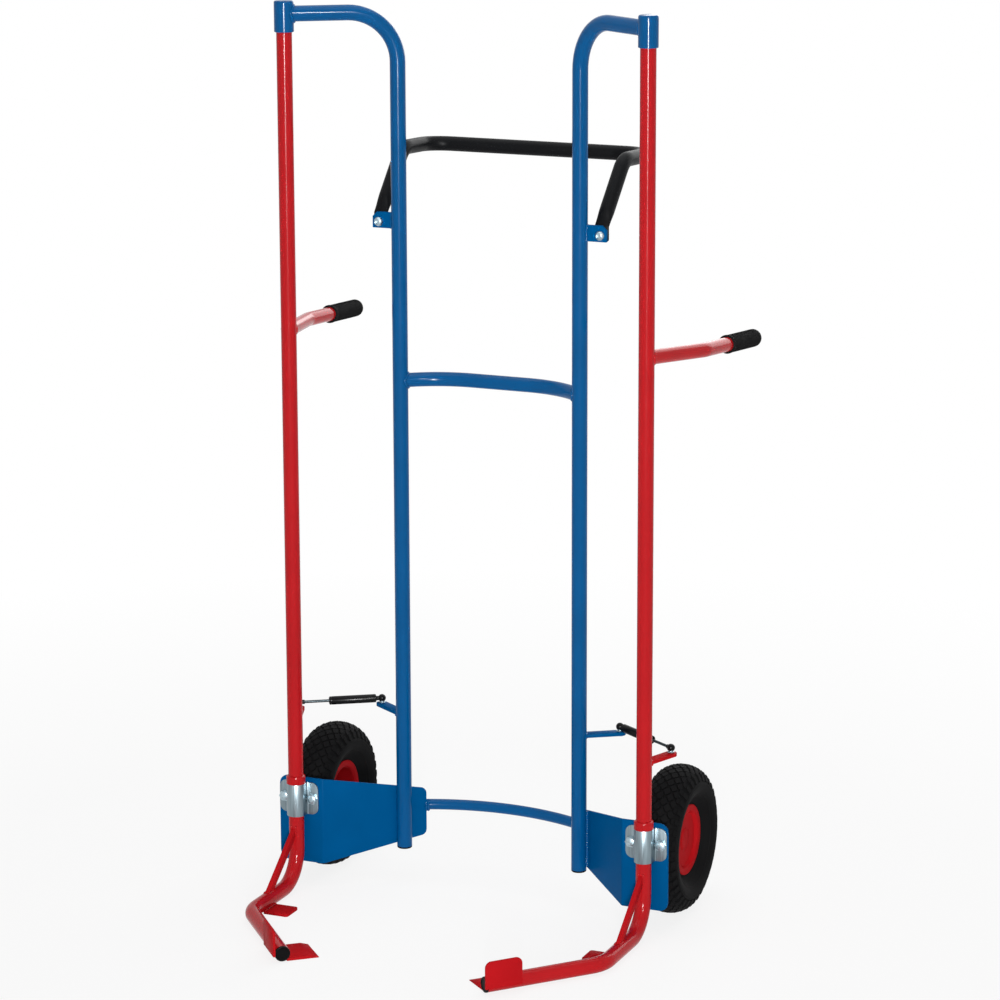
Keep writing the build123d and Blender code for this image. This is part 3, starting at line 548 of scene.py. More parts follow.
def rounded(points, radius, steps=12):
    """Run through the points with each inner corner rounded to the bend radius."""
    path = [points[0].copy()]
    for before, corner, after in zip(points, points[1:], points[2:]):
        a = (before - corner).normalized()
        b = (after - corner).normalized()
        half = a.angle(b) / 2
        start = corner + a * (radius / math.tan(half))
        end = corner + b * (radius / math.tan(half))
        centre = corner + (a + b).normalized() * (radius / math.sin(half))
        turn = (start - centre).rotation_difference(end - centre)
        for i in range(steps + 1):
            part = Quaternion().slerp(turn, i / steps)
            path.append(centre + part @ (start - centre))
    path.append(points[-1].copy())
    return path


def sweep(bm, path, radius, sides=32, closed=False, across=None, shape=None):
    """Skin of round rings along a path; shape(i) may give each ring two half widths."""
    count = len(path)
    tangents = []
    for i in range(count):
        ahead = path[(i + 1) % count] if closed or i + 1 < count else path[i]
        behind = path[i - 1] if closed or i else path[i]
        tangents.append((ahead - behind).normalized())
    normal = across or tangents[0].orthogonal()
    normal = (normal - tangents[0] * normal.dot(tangents[0])).normalized()
    rings = []
    for i in range(count):
        if i:
            normal = tangents[i - 1].rotation_difference(tangents[i]) @ normal
        other = tangents[i].cross(normal)
        wide, deep = shape(i) if shape else (radius, radius)
        ring = []
        for k in range(sides):
            angle = 2 * math.pi * k / sides
            offset = normal * (wide * math.cos(angle)) + other * (deep * math.sin(angle))
            ring.append(bm.verts.new(path[i] + offset))
        rings.append(ring)
    pairs = list(zip(rings, rings[1:]))
    if closed:
        pairs.append((rings[-1], rings[0]))
    for low, high in pairs:
        for k in range(sides):
            n = (k + 1) % sides
            bm.faces.new((low[k], low[n], high[n], high[k]))
    if not closed:
        bm.faces.new(list(reversed(rings[0])))
        bm.faces.new(rings[-1])


def lathe(bm, profile, centre, axis, sides=48, closed=False):
    """Turns (along, radius) millimetre pairs about an axis through the centre."""
    axis = axis.normalized()
    one = axis.orthogonal().normalized()
    two = axis.cross(one)
    rings = []
    for along, r in profile:
        base = centre + axis * (along * MM)
        if r < 1e-6:
            rings.append([bm.verts.new(base)])
            continue
        ring = []
        for k in range(sides):
            angle = 2 * math.pi * k / sides
            offset = (one * math.cos(angle) + two * math.sin(angle)) * (r * MM)
            ring.append(bm.verts.new(base + offset))
        rings.append(ring)
    pairs = list(zip(rings, rings[1:]))
    if closed:
        pairs.append((rings[-1], rings[0]))
    for low, high in pairs:
        for k in range(sides):
            n = (k + 1) % sides
            corners = [low[k % len(low)], low[n % len(low)], high[n % len(high)],
                       high[k % len(high)]]
            unique = list(dict.fromkeys(corners))
            if len(unique) > 2:
                bm.faces.new(unique)


def soften(bm, width, segments=2, angle=30.0):
    """Rounds every edge that is sharper than the angle."""
    bmesh.ops.recalc_face_normals(bm, faces=bm.faces)
    edges = [
        e for e in bm.edges
        if len(e.link_faces) == 2 and e.calc_face_angle(0) > math.radians(angle)
    ]
    bmesh.ops.bevel(bm, geom=edges, offset=width, offset_type="OFFSET", segments=segments,
                    profile=0.5, affect="EDGES", clamp_overlap=True)


def slab(bm, outline, thickness):
    """Flat plate: an outline of points pushed along a thickness vector."""
    low = [bm.verts.new(p) for p in outline]
    high = [bm.verts.new(p + thickness) for p in outline]
    count = len(outline)
    bm.faces.new(low)
    bm.faces.new(list(reversed(high)))
    for i in range(count):
        n = (i + 1) % count
        bm.faces.new((low[n], low[i], high[i], high[n]))


def corner_arc(corner, before, after, radius, steps=6):
    """Points that round one corner of an outline."""
    return rounded([before, corner, after], radius, steps)[1:-1]


def ribbon(bm, path, thickness, low, high):
    """Sheet that stands on edge along a plan path; low and high give its edges in mm."""
    length = [0.0]
    for a, b in zip(path, path[1:]):
        length.append(length[-1] + (b - a).length)
    count = len(path)
    columns = []
    for i, point in enumerate(path):
        ahead = path[min(i + 1, count - 1)]
        behind = path[max(i - 1, 0)]
        run = (ahead - behind).normalized()
        out = Vector((-run.y, run.x, 0)) * thickness
        bottom = low(length[i] / MM, length[-1] / MM) * MM
        top = high(length[i] / MM, length[-1] / MM) * MM
        column = []
        for base in (point, point + out):
            column.append(bm.verts.new((base.x, base.y, bottom)))
            column.append(bm.verts.new((base.x, base.y, top)))
        columns.append(column)
    for a, b in zip(columns, columns[1:]):
        bm.faces.new((a[0], b[0], b[1], a[1]))
        bm.faces.new((a[2], a[3], b[3], b[2]))
        bm.faces.new((a[0], a[2], b[2], b[0]))
        bm.faces.new((a[1], b[1], b[3], a[3]))
    bm.faces.new((columns[0][0], columns[0][1], columns[0][3], columns[0][2]))
    bm.faces.new((columns[-1][0], columns[-1][2], columns[-1][3], columns[-1][1]))


def end_inset(distance, radius):
    """How far a rounded corner draws the edge in, at a distance from the end."""
    if distance >= radius:
        return 0.0
    return radius - math.sqrt(max(0.0, radius**2 - (radius - distance) ** 2))


def refine(path, spans):
    """Adds stations to a path near its ends so that rounded corners come out round."""
    total = sum((b - a).length for a, b in zip(path, path[1:]))
    stations = set()
    for start, end, step in spans:
        value = start
        while value <= end + 1e-6:
            stations.add(round(value if value >= 0 else total / MM + value, 4))
            value += step
    result = []
    run = 0.0
    for a, b in zip(path, path[1:]):
        piece_length = (b - a).length
        result.append((run, a))
        for s in stations:
            if run + 1e-5 < s * MM < run + piece_length - 1e-5:
                result.append((s * MM, a.lerp(b, (s * MM - run) / piece_length)))
        run += piece_length
    result.append((run, path[-1]))
    return [p for _, p in sorted(result, key=lambda pair: pair[0])]


def saddle(centre, along, main_r, start, out, branch_r, count=64):
    """Closed line where a branch tube meets the outside of a main tube."""
    along = along.normalized()
    out = out.normalized()
    one = out.orthogonal().normalized()
    two = out.cross(one)
    line = []
    for k in range(count):
        angle = 2 * math.pi * k / count
        base = start + (one * math.cos(angle) + two * math.sin(angle)) * branch_r
        gap = base - centre
        flat_gap = gap - along * gap.dot(along)
        flat_out = out - along * out.dot(along)
        a = flat_out.dot(flat_out)
        b = flat_gap.dot(flat_out)
        c = flat_gap.dot(flat_gap) - main_r**2
        root = max(0.0, b * b - a * c)
        line.append(base + out * ((-b + math.sqrt(root)) / a))
    return line


def bead(bm, line, radius, closed=True, pitch=0.0042):
    """Weld bead along a line, with the ripples of its passes."""
    steps = []
    run = 0.0
    for a, b in zip(line, line[1:] + line[:1]):
        steps.append(run)
        run += (b - a).length
    sweep(bm, line, radius, sides=10, closed=closed, shape=lambda i: (
        radius * (1 + 0.14 * math.sin(2 * math.pi * steps[i] / pitch)),) * 2)


def straight(a, b, step=0.0012):
    """Points along a straight seam."""
    count = max(2, int((b - a).length / step))
    return [a.lerp(b, i / count) for i in range(count + 1)]


# Geometry Nodes


def node_tree(name, sockets):
    """A geometry tree with a Geometry input, named size inputs and a Geometry output."""
    tree = bpy.data.node_groups.new(name, "GeometryNodeTree")
    tree.interface.new_socket("Geometry", in_out="INPUT", socket_type="NodeSocketGeometry")
    for label, kind, default in sockets:
        socket = tree.interface.new_socket(label, in_out="INPUT", socket_type=kind)
        socket.default_value = default
    tree.interface.new_socket("Geometry", in_out="OUTPUT", socket_type="NodeSocketGeometry")
    return tree


def grow(base, tree, values):
    """Runs a tree on a base mesh with the given sizes and returns the plain mesh."""
    holder = bpy.data.objects.new(tree.name, base)
    bpy.context.scene.collection.objects.link(holder)
    modifier = holder.modifiers.new(tree.name, "NODES")
    modifier.node_group = tree
    names = {s.name: s.identifier for s in tree.interface.items_tree
             if getattr(s, "in_out", "") == "INPUT"}
    for label, value in values.items():
        modifier[names[label]] = value
    graph = bpy.context.evaluated_depsgraph_get()
    mesh = bpy.data.meshes.new_from_object(holder.evaluated_get(graph))
    holder.modifiers.clear()
    bpy.data.objects.remove(holder)
    return mesh


def row_tree(material):
    """Copies of the base mesh in a ring about X, leaned over and set along the axle."""
    tree = node_tree("tread_row", [
        ("Blocks", "NodeSocketInt", 38), ("Radius", "NodeSocketFloat", 0.126),
        ("Along", "NodeSocketFloat", 0.0), ("Lean", "NodeSocketFloat", 0.0),
        ("Phase", "NodeSocketFloat", 0.0),
    ])
    given = add(tree, "NodeGroupInput").outputs
    ring = add(tree, "GeometryNodeMeshCircle", links={
        "Vertices": given["Blocks"], "Radius": given["Radius"]})
    spot = add(tree, "GeometryNodeInputPosition")
    face = add(tree, "FunctionNodeAlignRotationToVector", {"axis": "X"},
               {"Vector": spot.outputs["Position"]})
    copies = add(tree, "GeometryNodeInstanceOnPoints", links={
        "Points": ring.outputs["Mesh"], "Instance": given["Geometry"],
        "Rotation": face.outputs["Rotation"]})
    lean = add(tree, "ShaderNodeCombineXYZ", links={"Y": given["Lean"]})
    leaned = add(tree, "GeometryNodeRotateInstances", {"Local Space": True}, {
        "Instances": copies.outputs["Instances"], "Rotation": lean.outputs["Vector"]})
    phase = add(tree, "ShaderNodeCombineXYZ", links={"Z": given["Phase"]})
    lift = add(tree, "ShaderNodeCombineXYZ", links={"Z": given["Along"]})
    placed = add(tree, "GeometryNodeTransform", links={
        "Geometry": leaned.outputs["Instances"], "Rotation": phase.outputs["Vector"],
        "Translation": lift.outputs["Vector"]})
    upright = add(tree, "GeometryNodeTransform",
                  {"Rotation": (0.0, math.pi / 2, 0.0)},
                  {"Geometry": placed.outputs["Geometry"]})
    real = add(tree, "GeometryNodeRealizeInstances",
               links={"Geometry": upright.outputs["Geometry"]})
    painted = add(tree, "GeometryNodeSetMaterial", {"Material": material},
                  {"Geometry": real.outputs["Geometry"]})
    add(tree, "NodeGroupOutput", links={"Geometry": painted.outputs["Geometry"]})
    return tree


def rib_tree(material):
    """Rings strung along X from the origin, for the raised ribs of a grip."""
    tree = node_tree("grip_ribs", [
        ("Ribs", "NodeSocketInt", 24), ("Pitch", "NodeSocketFloat", 0.0045),
        ("Radius", "NodeSocketFloat", 0.0152), ("Thick", "NodeSocketFloat", 0.0012),
    ])
    given = add(tree, "NodeGroupInput").outputs
    step = add(tree, "ShaderNodeCombineXYZ", links={"X": given["Pitch"]})
    line = add(tree, "GeometryNodeMeshLine", {"mode": "OFFSET"}, {
        "Count": given["Ribs"], "Offset": step.outputs["Vector"]})
    loop = add(tree, "GeometryNodeCurvePrimitiveCircle", {"Resolution": 40},
               {"Radius": given["Radius"]})
    wire = add(tree, "GeometryNodeCurvePrimitiveCircle", {"Resolution": 8},
               {"Radius": given["Thick"]})
    hoop = add(tree, "GeometryNodeCurveToMesh", links={
        "Curve": loop.outputs["Curve"], "Profile Curve": wire.outputs["Curve"]})
    stood = add(tree, "GeometryNodeTransform", {"Rotation": (0.0, math.pi / 2, 0.0)},
                {"Geometry": hoop.outputs["Mesh"]})
    copies = add(tree, "GeometryNodeInstanceOnPoints", links={
        "Points": line.outputs["Mesh"], "Instance": stood.outputs["Geometry"]})
    real = add(tree, "GeometryNodeRealizeInstances",
               links={"Geometry": copies.outputs["Instances"]})
    painted = add(tree, "GeometryNodeSetMaterial", {"Material": material},
                  {"Geometry": real.outputs["Geometry"]})
    add(tree, "NodeGroupOutput", links={"Geometry": painted.outputs["Geometry"]})
    return tree


def hex_tree(material):
    """A hex with a domed top, washer and shank on each point of the base mesh, along Z."""
    tree = node_tree("hex_fasteners", [
        ("Across", "NodeSocketFloat", 0.017), ("Height", "NodeSocketFloat", 0.0064),
        ("Washer", "NodeSocketFloat", 0.0105), ("Dome", "NodeSocketFloat", 0.35),
        ("Shank", "NodeSocketFloat", 0.005), ("Reach", "NodeSocketFloat", 0.014),
        ("Turn", "NodeSocketVector", (0.0, 0.0, 0.0)),
    ])
    given = add(tree, "NodeGroupInput").outputs
    corner = add(tree, "ShaderNodeMath", {"operation": "MULTIPLY", 1: HEX_CORNER},
                 {0: given["Across"]})
    head = add(tree, "GeometryNodeMeshCylinder", {"Vertices": 6}, {
        "Radius": corner.outputs[0], "Depth": given["Height"]})
    half = add(tree, "ShaderNodeMath", {"operation": "MULTIPLY", 1: 0.5},
               {0: given["Height"]})
    up = add(tree, "ShaderNodeCombineXYZ", links={"Z": half.outputs[0]})
    seated = add(tree, "GeometryNodeTransform", links={
        "Geometry": head.outputs["Mesh"], "Translation": up.outputs["Vector"]})
    ball_r = add(tree, "ShaderNodeMath", {"operation": "MULTIPLY", 1: HEX_DOME},
                 {0: given["Across"]})
    ball = add(tree, "GeometryNodeMeshUVSphere", {"Segments": 24, "Rings": 12},
               {"Radius": ball_r.outputs[0]})
    squash = add(tree, "ShaderNodeCombineXYZ", {"X": 1.0, "Y": 1.0}, {"Z": given["Dome"]})
    crown_z = add(tree, "ShaderNodeCombineXYZ", links={"Z": given["Height"]})
    dome = add(tree, "GeometryNodeTransform", links={
        "Geometry": ball.outputs["Mesh"], "Scale": squash.outputs["Vector"],
        "Translation": crown_z.outputs["Vector"]})
    disc = add(tree, "GeometryNodeMeshCylinder", {"Vertices": 32, "Depth": WASHER_T * MM},
               {"Radius": given["Washer"]})
    lifted = add(tree, "GeometryNodeTransform", {"Translation": UP * (WASHER_T / 2 * MM)},
                 {"Geometry": disc.outputs["Mesh"]})
    pin = add(tree, "GeometryNodeMeshCylinder", {"Vertices": 20}, {
        "Radius": given["Shank"], "Depth": given["Reach"]})
    back = add(tree, "ShaderNodeMath", {"operation": "MULTIPLY", 1: -0.5},
               {0: given["Reach"]})
    below = add(tree, "ShaderNodeCombineXYZ", links={"Z": back.outputs[0]})
    shank = add(tree, "GeometryNodeTransform", links={
        "Geometry": pin.outputs["Mesh"], "Translation": below.outputs["Vector"]})
    whole = add(tree, "GeometryNodeJoinGeometry")
    for part in (seated, dome, lifted, shank):
        tree.links.new(part.outputs["Geometry"], whole.inputs[0])
    turned = add(tree, "GeometryNodeTransform", links={
        "Geometry": whole.outputs["Geometry"], "Rotation": given["Turn"]})
    copies = add(tree, "GeometryNodeInstanceOnPoints", links={
        "Points": given["Geometry"], "Instance": turned.outputs["Geometry"]})
    real = add(tree, "GeometryNodeRealizeInstances",
               links={"Geometry": copies.outputs["Instances"]})
    painted = add(tree, "GeometryNodeSetMaterial", {"Material": material},
                  {"Geometry": real.outputs["Geometry"]})
    add(tree, "NodeGroupOutput", links={"Geometry": painted.outputs["Geometry"]})
    return tree


# Lines that several pieces share


def top_run(side):
    """Direction of the bent-over top of one upright, towards its sleeve."""
    return (at(side * ARM_X, ARM_Y, 0) - at(side * UPRIGHT_X, 0, 0)).normalized()


def wing_line():
    """Direction in plan of the right plate's wing, which touches the upright from behind."""
    tube_r = bpy.context.scene.truck_sizes.tube_od / 2 / MM
    run = math.hypot(PLATE_FOLD_X - UPRIGHT_X, PLATE_FRONT)
    angle = math.atan2(-PLATE_FRONT, PLATE_FOLD_X - UPRIGHT_X) + math.asin(tube_r / run)
    return Vector((-math.cos(angle), math.sin(angle), 0))


def foot_line(side):
    """Knee and tip of a foot, its directions to the tip and inwards, and its height."""
    foot_z = FOOT_LIFT + bpy.context.scene.truck_sizes.tube_od / 2 / MM
    knee = at(side * ARM_X, ARM_Y - FOOT_LENGTH, foot_z)
    ahead = Vector((-side * math.sin(FOOT_TURN), -math.cos(FOOT_TURN), 0))
    inward = Vector((-side * math.cos(FOOT_TURN), math.sin(FOOT_TURN), 0))
    return knee, knee + ahead * (FOOT_TIP * MM), ahead, inward, foot_z


def bow_line():
    """Right half of the bowed axle, from the end of its straight run to its middle."""
    turn = 2 * math.atan(AXLE_BOW / AXLE_BOW_HALF)
    bow_r = AXLE_BOW_HALF / math.sin(turn) - AXLE_KINK
    line = []
    for i in range(AXLE_KINK_STEPS + 1):
        a = turn * i / AXLE_KINK_STEPS
        line.append(at(AXLE_BOW_HALF - AXLE_KINK * math.sin(a),
                       WHEEL_Y + AXLE_KINK * (1 - math.cos(a)), WHEEL_Z))
    for i in range(AXLE_BOW_STEPS - 1, -1, -1):
        a = turn * i / AXLE_BOW_STEPS
        line.append(at(bow_r * math.sin(a),
                       WHEEL_Y + AXLE_BOW - bow_r * (1 - math.cos(a)), WHEEL_Z))
    return line


def handle_line(side):
    """Start, knee and end of a side handle."""
    return [at(side * (ARM_X + out), ARM_Y + back, HANDLE_Z - HANDLE_FALL * back)
            for out, back in ((0.0, 0.0), HANDLE_KNEE, HANDLE_END)]


# Pieces. A turned profile lists (along, radius) in millimetres, and the small steps at an edge
# are its rounding.


class TRUCK_OT_frame_tubes(bpy.types.Operator):
    """Uprights, pivot sleeves, crossbar, axle, end plugs and push handle"""

    bl_idname = "truck.frame_tubes"
    bl_label = "Frame tubes"

    def execute(self, context):
        sizes = context.scene.truck_sizes
        for name, side in SIDES:
            self.upright(name, side, sizes)
            self.sleeve(name, side, sizes)
            self.plug(name, side)
        self.crossbar(sizes)
        self.axle(sizes)
        self.push_handle(sizes)
        return {"FINISHED"}

    def upright(self, name, side, sizes):
        """Tube bent over at the top, up to the sleeve."""
        run = top_run(side)
        end = at(side * ARM_X, ARM_Y, TOP_ARM_Z) - run * (sizes.sleeve_od / 2)
        path = rounded([at(side * UPRIGHT_X, 0, UPRIGHT_BOTTOM), at(side * UPRIGHT_X, 0, TOP_ARM_Z),
                        end], TOP_BEND * MM, 16)
        bm = bmesh.new()
        sweep(bm, path, sizes.tube_od / 2, TUBE_SIDES, across=Vector((-run.y, run.x, 0)))
        self.fish_mouth(bm, at(side * ARM_X, ARM_Y, 0), run, sizes.sleeve_od / 2 - MM)
        piece(f"{name}_upright_tube", bm, "blue", "frame", [f"{name}_upright"])

    @staticmethod
    def fish_mouth(bm, pivot, run, radius):
        """Cuts the end of an upright to the round of its sleeve."""
        bm.faces.ensure_lookup_table()
        bmesh.ops.delete(bm, geom=[bm.faces[-1]], context="FACES_ONLY")
        ring = list(bm.verts)[-TUBE_SIDES:]
        for v in ring:
            gap = v.co - pivot
            gap.z = 0
            ahead = gap.dot(run)
            aside = gap.length_squared - ahead**2
            v.co -= run * (ahead + math.sqrt(radius**2 - aside))
        for k in range(TUBE_SIDES // 2):
            corners = (ring[k], ring[k + 1], ring[TUBE_SIDES - 1 - k],
                       ring[(TUBE_SIDES - k) % TUBE_SIDES])
            bm.faces.new(list(dict.fromkeys(corners)))

    @staticmethod
    def sleeve(name, side, sizes):
        """Short pipe in which the arm turns, with a rounded cap welded on top."""
        outer = sizes.sleeve_od / 2 / MM
        bore = sizes.tube_od / 2 / MM + RUN_FIT
        bm = bmesh.new()
        lathe(bm, [
            (SLEEVE_TOP - SLEEVE_CAP, 0), (SLEEVE_TOP - SLEEVE_CAP, bore), (SLEEVE_BOTTOM, bore),
            (SLEEVE_BOTTOM, outer - 0.7), (SLEEVE_BOTTOM + 0.7, outer), (SLEEVE_TOP - 3.6, outer),
            (SLEEVE_TOP - 3, outer), (SLEEVE_TOP - 1.4, outer - 0.5),
            (SLEEVE_TOP - 0.4, outer - 1.6), (SLEEVE_TOP, outer - 3.2), (SLEEVE_TOP, 0),
        ], at(side * ARM_X, ARM_Y, 0), UP)
        piece(f"{name}_pivot_sleeve", bm, "blue", "frame", [f"{name}_top_sleeve"])

    @staticmethod
    def plug(name, side):
        """Plastic plug with its stub in the tube and a rounded rim under it."""
        bm = bmesh.new()
        lathe(bm, [
            (PLUG_STUB, 0), (PLUG_STUB, PLUG_STUB_R), (0, PLUG_STUB_R), (0, PLUG_RIM_R),
            (-2.2, 13.3), (-3.2, 12.4), (-PLUG_RIM, 11), (-PLUG_RIM, 0),
        ], at(side * UPRIGHT_X, 0, UPRIGHT_BOTTOM), UP)
        piece(f"{name}_tube_plug", bm, "plastic", "frame", [f"{name}_upright_plug"])

    @staticmethod
    def crossbar(sizes):
        """Tube between the uprights, bowed backwards with a bend near each end."""
        ends = [at(s * UPRIGHT_X, 0, MID_BAR_Z) for s in (-1, 1)]
        flat = [at(s * MID_BAR_FLAT_X, MID_BAR_BOW, MID_BAR_Z) for s in (-1, 1)]
        ends = [e + (f - e).normalized() * (BRANCH_START * MM) for e, f in zip(ends, flat)]
        bm = bmesh.new()
        sweep(bm, rounded([ends[0], *flat, ends[1]], MID_BAR_BEND * MM, 16), sizes.bar_od / 2,
              TUBE_SIDES)
        piece("bowed_crossbar", bm, "blue", "frame", ["mid_crossbar"])

    @staticmethod
    def axle(sizes):
        """Round bar bowed backwards, with a shoulder on the inner side of each wheel."""
        low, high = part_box("axle_bar")
        reach = (high.x - low.x) / 2 / MM
        half = [at(reach, WHEEL_Y, WHEEL_Z)] + bow_line()
        path = [mirror_x(p) for p in half] + list(reversed(half[:-1]))
        bm = bmesh.new()
        sweep(bm, path, sizes.axle_od / 2)
        core = sizes.axle_od / 2 / MM - 0.5
        edge = 0.6
        for s in (-1, 1):
            lathe(bm, [
                (-SHOULDER_OUT, core), (-SHOULDER_OUT, SHOULDER_R - edge),
                (-SHOULDER_OUT - edge, SHOULDER_R), (-SHOULDER_IN + edge, SHOULDER_R),
                (-SHOULDER_IN, SHOULDER_R - edge), (-SHOULDER_IN, core),
            ], at(s * WHEEL_X, WHEEL_Y, WHEEL_Z), Vector((s, 0, 0)), closed=True)
        piece("bowed_axle", bm, "blue", "frame", ["axle_bar"])

    @staticmethod
    def push_handle(sizes):
        """Bent tube with both ends pressed flat for the lug bolts."""
        r = sizes.push_od / 2
        wide, deep = PUSH_TAB_W / 2 * MM, PUSH_TAB_T / 2 * MM
        tab_y = LUG_T / 2 + FACE_GAP + PUSH_TAB_T / 2
        tab_top = at(LUG_X, tab_y, LUG_Z + PUSH_TAB_ABOVE)
        knee = at(PUSH_X, *PUSH_KNEE)
        back = at(PUSH_X, *PUSH_BACK)
        rise = (knee - tab_top).normalized()
        # The flat end is ground round over its last 2 mm
        half = [at(LUG_X, tab_y, LUG_Z - PUSH_TAB_BELOW),
                at(LUG_X, tab_y, LUG_Z - PUSH_TAB_BELOW + 2), tab_top]
        widths = [(wide - 1.5 * MM, deep - 0.6 * MM), (wide, deep), (wide, deep)]
        steps = 8
        for i in range(1, steps + 1):
            t = i / steps
            ease = t * t * (3 - 2 * t)
            half.append(tab_top + rise * (PUSH_FLARE * MM * t))
            widths.append((wide + (r - wide) * ease, deep + (r - deep) * ease))
        bend = rounded([half[-1], knee, back, mirror_x(back), mirror_x(knee), mirror_x(half[-1])],
                       PUSH_BEND * MM)[1:-1]
        path = half + bend + [mirror_x(p) for p in reversed(half)]
        widths = widths + [(r, r)] * len(bend) + list(reversed(widths))
        bm = bmesh.new()
        sweep(bm, path, r, 36, across=Vector((1, 0, 0)), shape=lambda i: widths[i])
        piece("bent_push_handle", bm, "black", "frame", ["push_handle"], sharp=50)


def flat_bar(bm, root, tip, side):
    """Flat bar with a rounded end that carries a ball stud."""
    start = at(side * root[0], root[1], BRACKET_TOP)
    end = at(side * tip[0], tip[1], BRACKET_TOP)
    run = (end - start).normalized()
    across = Vector((-run.y, run.x, 0)) * (BRACKET_W / 2 * MM)
    near = start + run * (BRACKET_ROOT * MM)
    far = end + run * (BRACKET_END * MM)
    corners = [near - across, far - across, far + across, near + across]
    outline = [corners[0],
               *corner_arc(corners[1], corners[0], corners[2], BRACKET_CORNER * MM, 8),
               *corner_arc(corners[2], corners[1], corners[3], BRACKET_CORNER * MM, 8), corners[3]]
    slab(bm, outline, UP * (-BRACKET_T * MM))
    soften(bm, 0.6 * MM, angle=50)


class TRUCK_OT_wheel_plates(bpy.types.Operator):
    """Folded wheel plates, lugs and the brackets on the uprights"""

    bl_idname = "truck.wheel_plates"
    bl_label = "Wheel plates and lugs"

    def execute(self, context):
        sizes = context.scene.truck_sizes
        for name, side in SIDES:
            self.plate(name, side, sizes)
            self.lug(name, side)
            bm = bmesh.new()
            flat_bar(bm, (UPRIGHT_X, 0), FRAME_BALL, side)
            piece(f"{name}_spring_arm_plate", bm, "blue_sheet", "frame",
                  [f"{name}_spring_bracket"])
        return {"FINISHED"}

    @staticmethod
    def plate(name, side, sizes):
        """Sheet folded once, wide at the clamp and narrow at the upright."""
        wing = wing_line()
        flange = PLATE_OUTER_X - PLATE_FOLD_X
        scoop = math.sqrt(COLLAR_RELIEF_R**2 - (PLATE_FRONT - ARM_Y) ** 2)

        def taper(s, total):
            return max(0.0, s - flange) / (total - flange)

        def corners(s, total):
            return end_inset(s, PLATE_OUTER_CORNER) + end_inset(total - s, PLATE_INNER_CORNER)

        def top(s, total):
            edge = PLATE_TOP + (PLATE_INNER_TOP - PLATE_TOP) * taper(s, total) - corners(s, total)
            # Cut down behind the arm so that the turning collar clears it
            if abs(PLATE_OUTER_X - s - ARM_X) < scoop:
                edge = min(edge, CLAMP_TOP - 0.3)
            return edge

        def bottom(s, total):
            rise = (PLATE_INNER_BOTTOM - PLATE_BOTTOM) * taper(s, total)
            return PLATE_BOTTOM + rise + corners(s, total)

        fold = at(PLATE_FOLD_X, PLATE_FRONT, 0)
        far = fold + wing * ((WHEEL_Y - PLATE_FRONT - WING_SHORT) / wing.y * MM)
        path = rounded([at(PLATE_OUTER_X, PLATE_FRONT, 0), fold, far], PLATE_BEND * MM, 8)
        notch = [PLATE_OUTER_X - ARM_X + k * (scoop + e) for k in (-1, 1) for e in (-0.2, 0.2)]
        path = refine(path, [(0, PLATE_OUTER_CORNER, 1), (-PLATE_INNER_CORNER, -0.5, 0.75)]
                      + [(n, n, 1) for n in notch])
        bm = bmesh.new()
        ribbon(bm, path, -sizes.plate_t, bottom, top)
        for v in bm.verts:
            v.co.x *= side
        soften(bm, 0.7 * MM, angle=50)
        piece(f"{name}_folded_plate", bm, "blue_sheet", "frame", [f"{name}_wheel_plate"])

    @staticmethod
    def lug(name, side):
        """Flat lug with a clipped top corner for the handle bolt."""
        root, end = UPRIGHT_X + LUG_ROOT, LUG_X + LUG_END
        outline = [at(side * x, LUG_T / 2, LUG_Z + z) for x, z in (
            (root, -LUG_BELOW), (end, -LUG_BELOW), (end, LUG_ABOVE - LUG_CLIP),
            (end - LUG_CLIP, LUG_ABOVE), (root, LUG_ABOVE))]
        bm = bmesh.new()
        slab(bm, outline, Vector((0, -LUG_T * MM, 0)))
        soften(bm, 0.8 * MM, angle=50)
        piece(f"{name}_handle_tab", bm, "blue_sheet", "frame", [f"{name}_handle_lug"])


class TRUCK_OT_pipe_clamps(bpy.types.Operator):
    """Pressed saddle clamps that hold the arms to the wheel plates"""

    bl_idname = "truck.pipe_clamps"
    bl_label = "Pipe clamps"

    def execute(self, context):
        sizes = context.scene.truck_sizes
        inner = sizes.tube_od / 2 / MM + RUN_FIT
        steps = 32

        def inset(s, total):
            return end_inset(min(s, total - s), CLAMP_EAR_CORNER)

        for name, side in SIDES:
            x = side * ARM_X
            half = rounded([at(x + CLAMP_EAR, PLATE_FRONT, 0), at(x + inner, PLATE_FRONT, 0),
                            at(x + inner, ARM_Y, 0)], CLAMP_BEND * MM, 8)
            arc = []
            for i in range(1, steps):
                angle = math.pi * i / steps
                arc.append(at(x + inner * math.cos(angle), ARM_Y - inner * math.sin(angle), 0))
            other = [Vector((2 * x * MM - p.x, p.y, 0)) for p in reversed(half)]
            path = refine(half + arc + other, [(0, CLAMP_EAR_CORNER, 0.8),
                                               (-CLAMP_EAR_CORNER, -0.2, 0.8)])
            bm = bmesh.new()
            ribbon(bm, path, sizes.strap_t, lambda s, t: CLAMP_BOTTOM + inset(s, t),
                   lambda s, t: CLAMP_TOP - inset(s, t))
            soften(bm, 0.6 * MM, angle=50)
            piece(f"{name}_saddle_clamp", bm, "zinc", "frame", [f"{name}_pipe_clamp"])
        return {"FINISHED"}


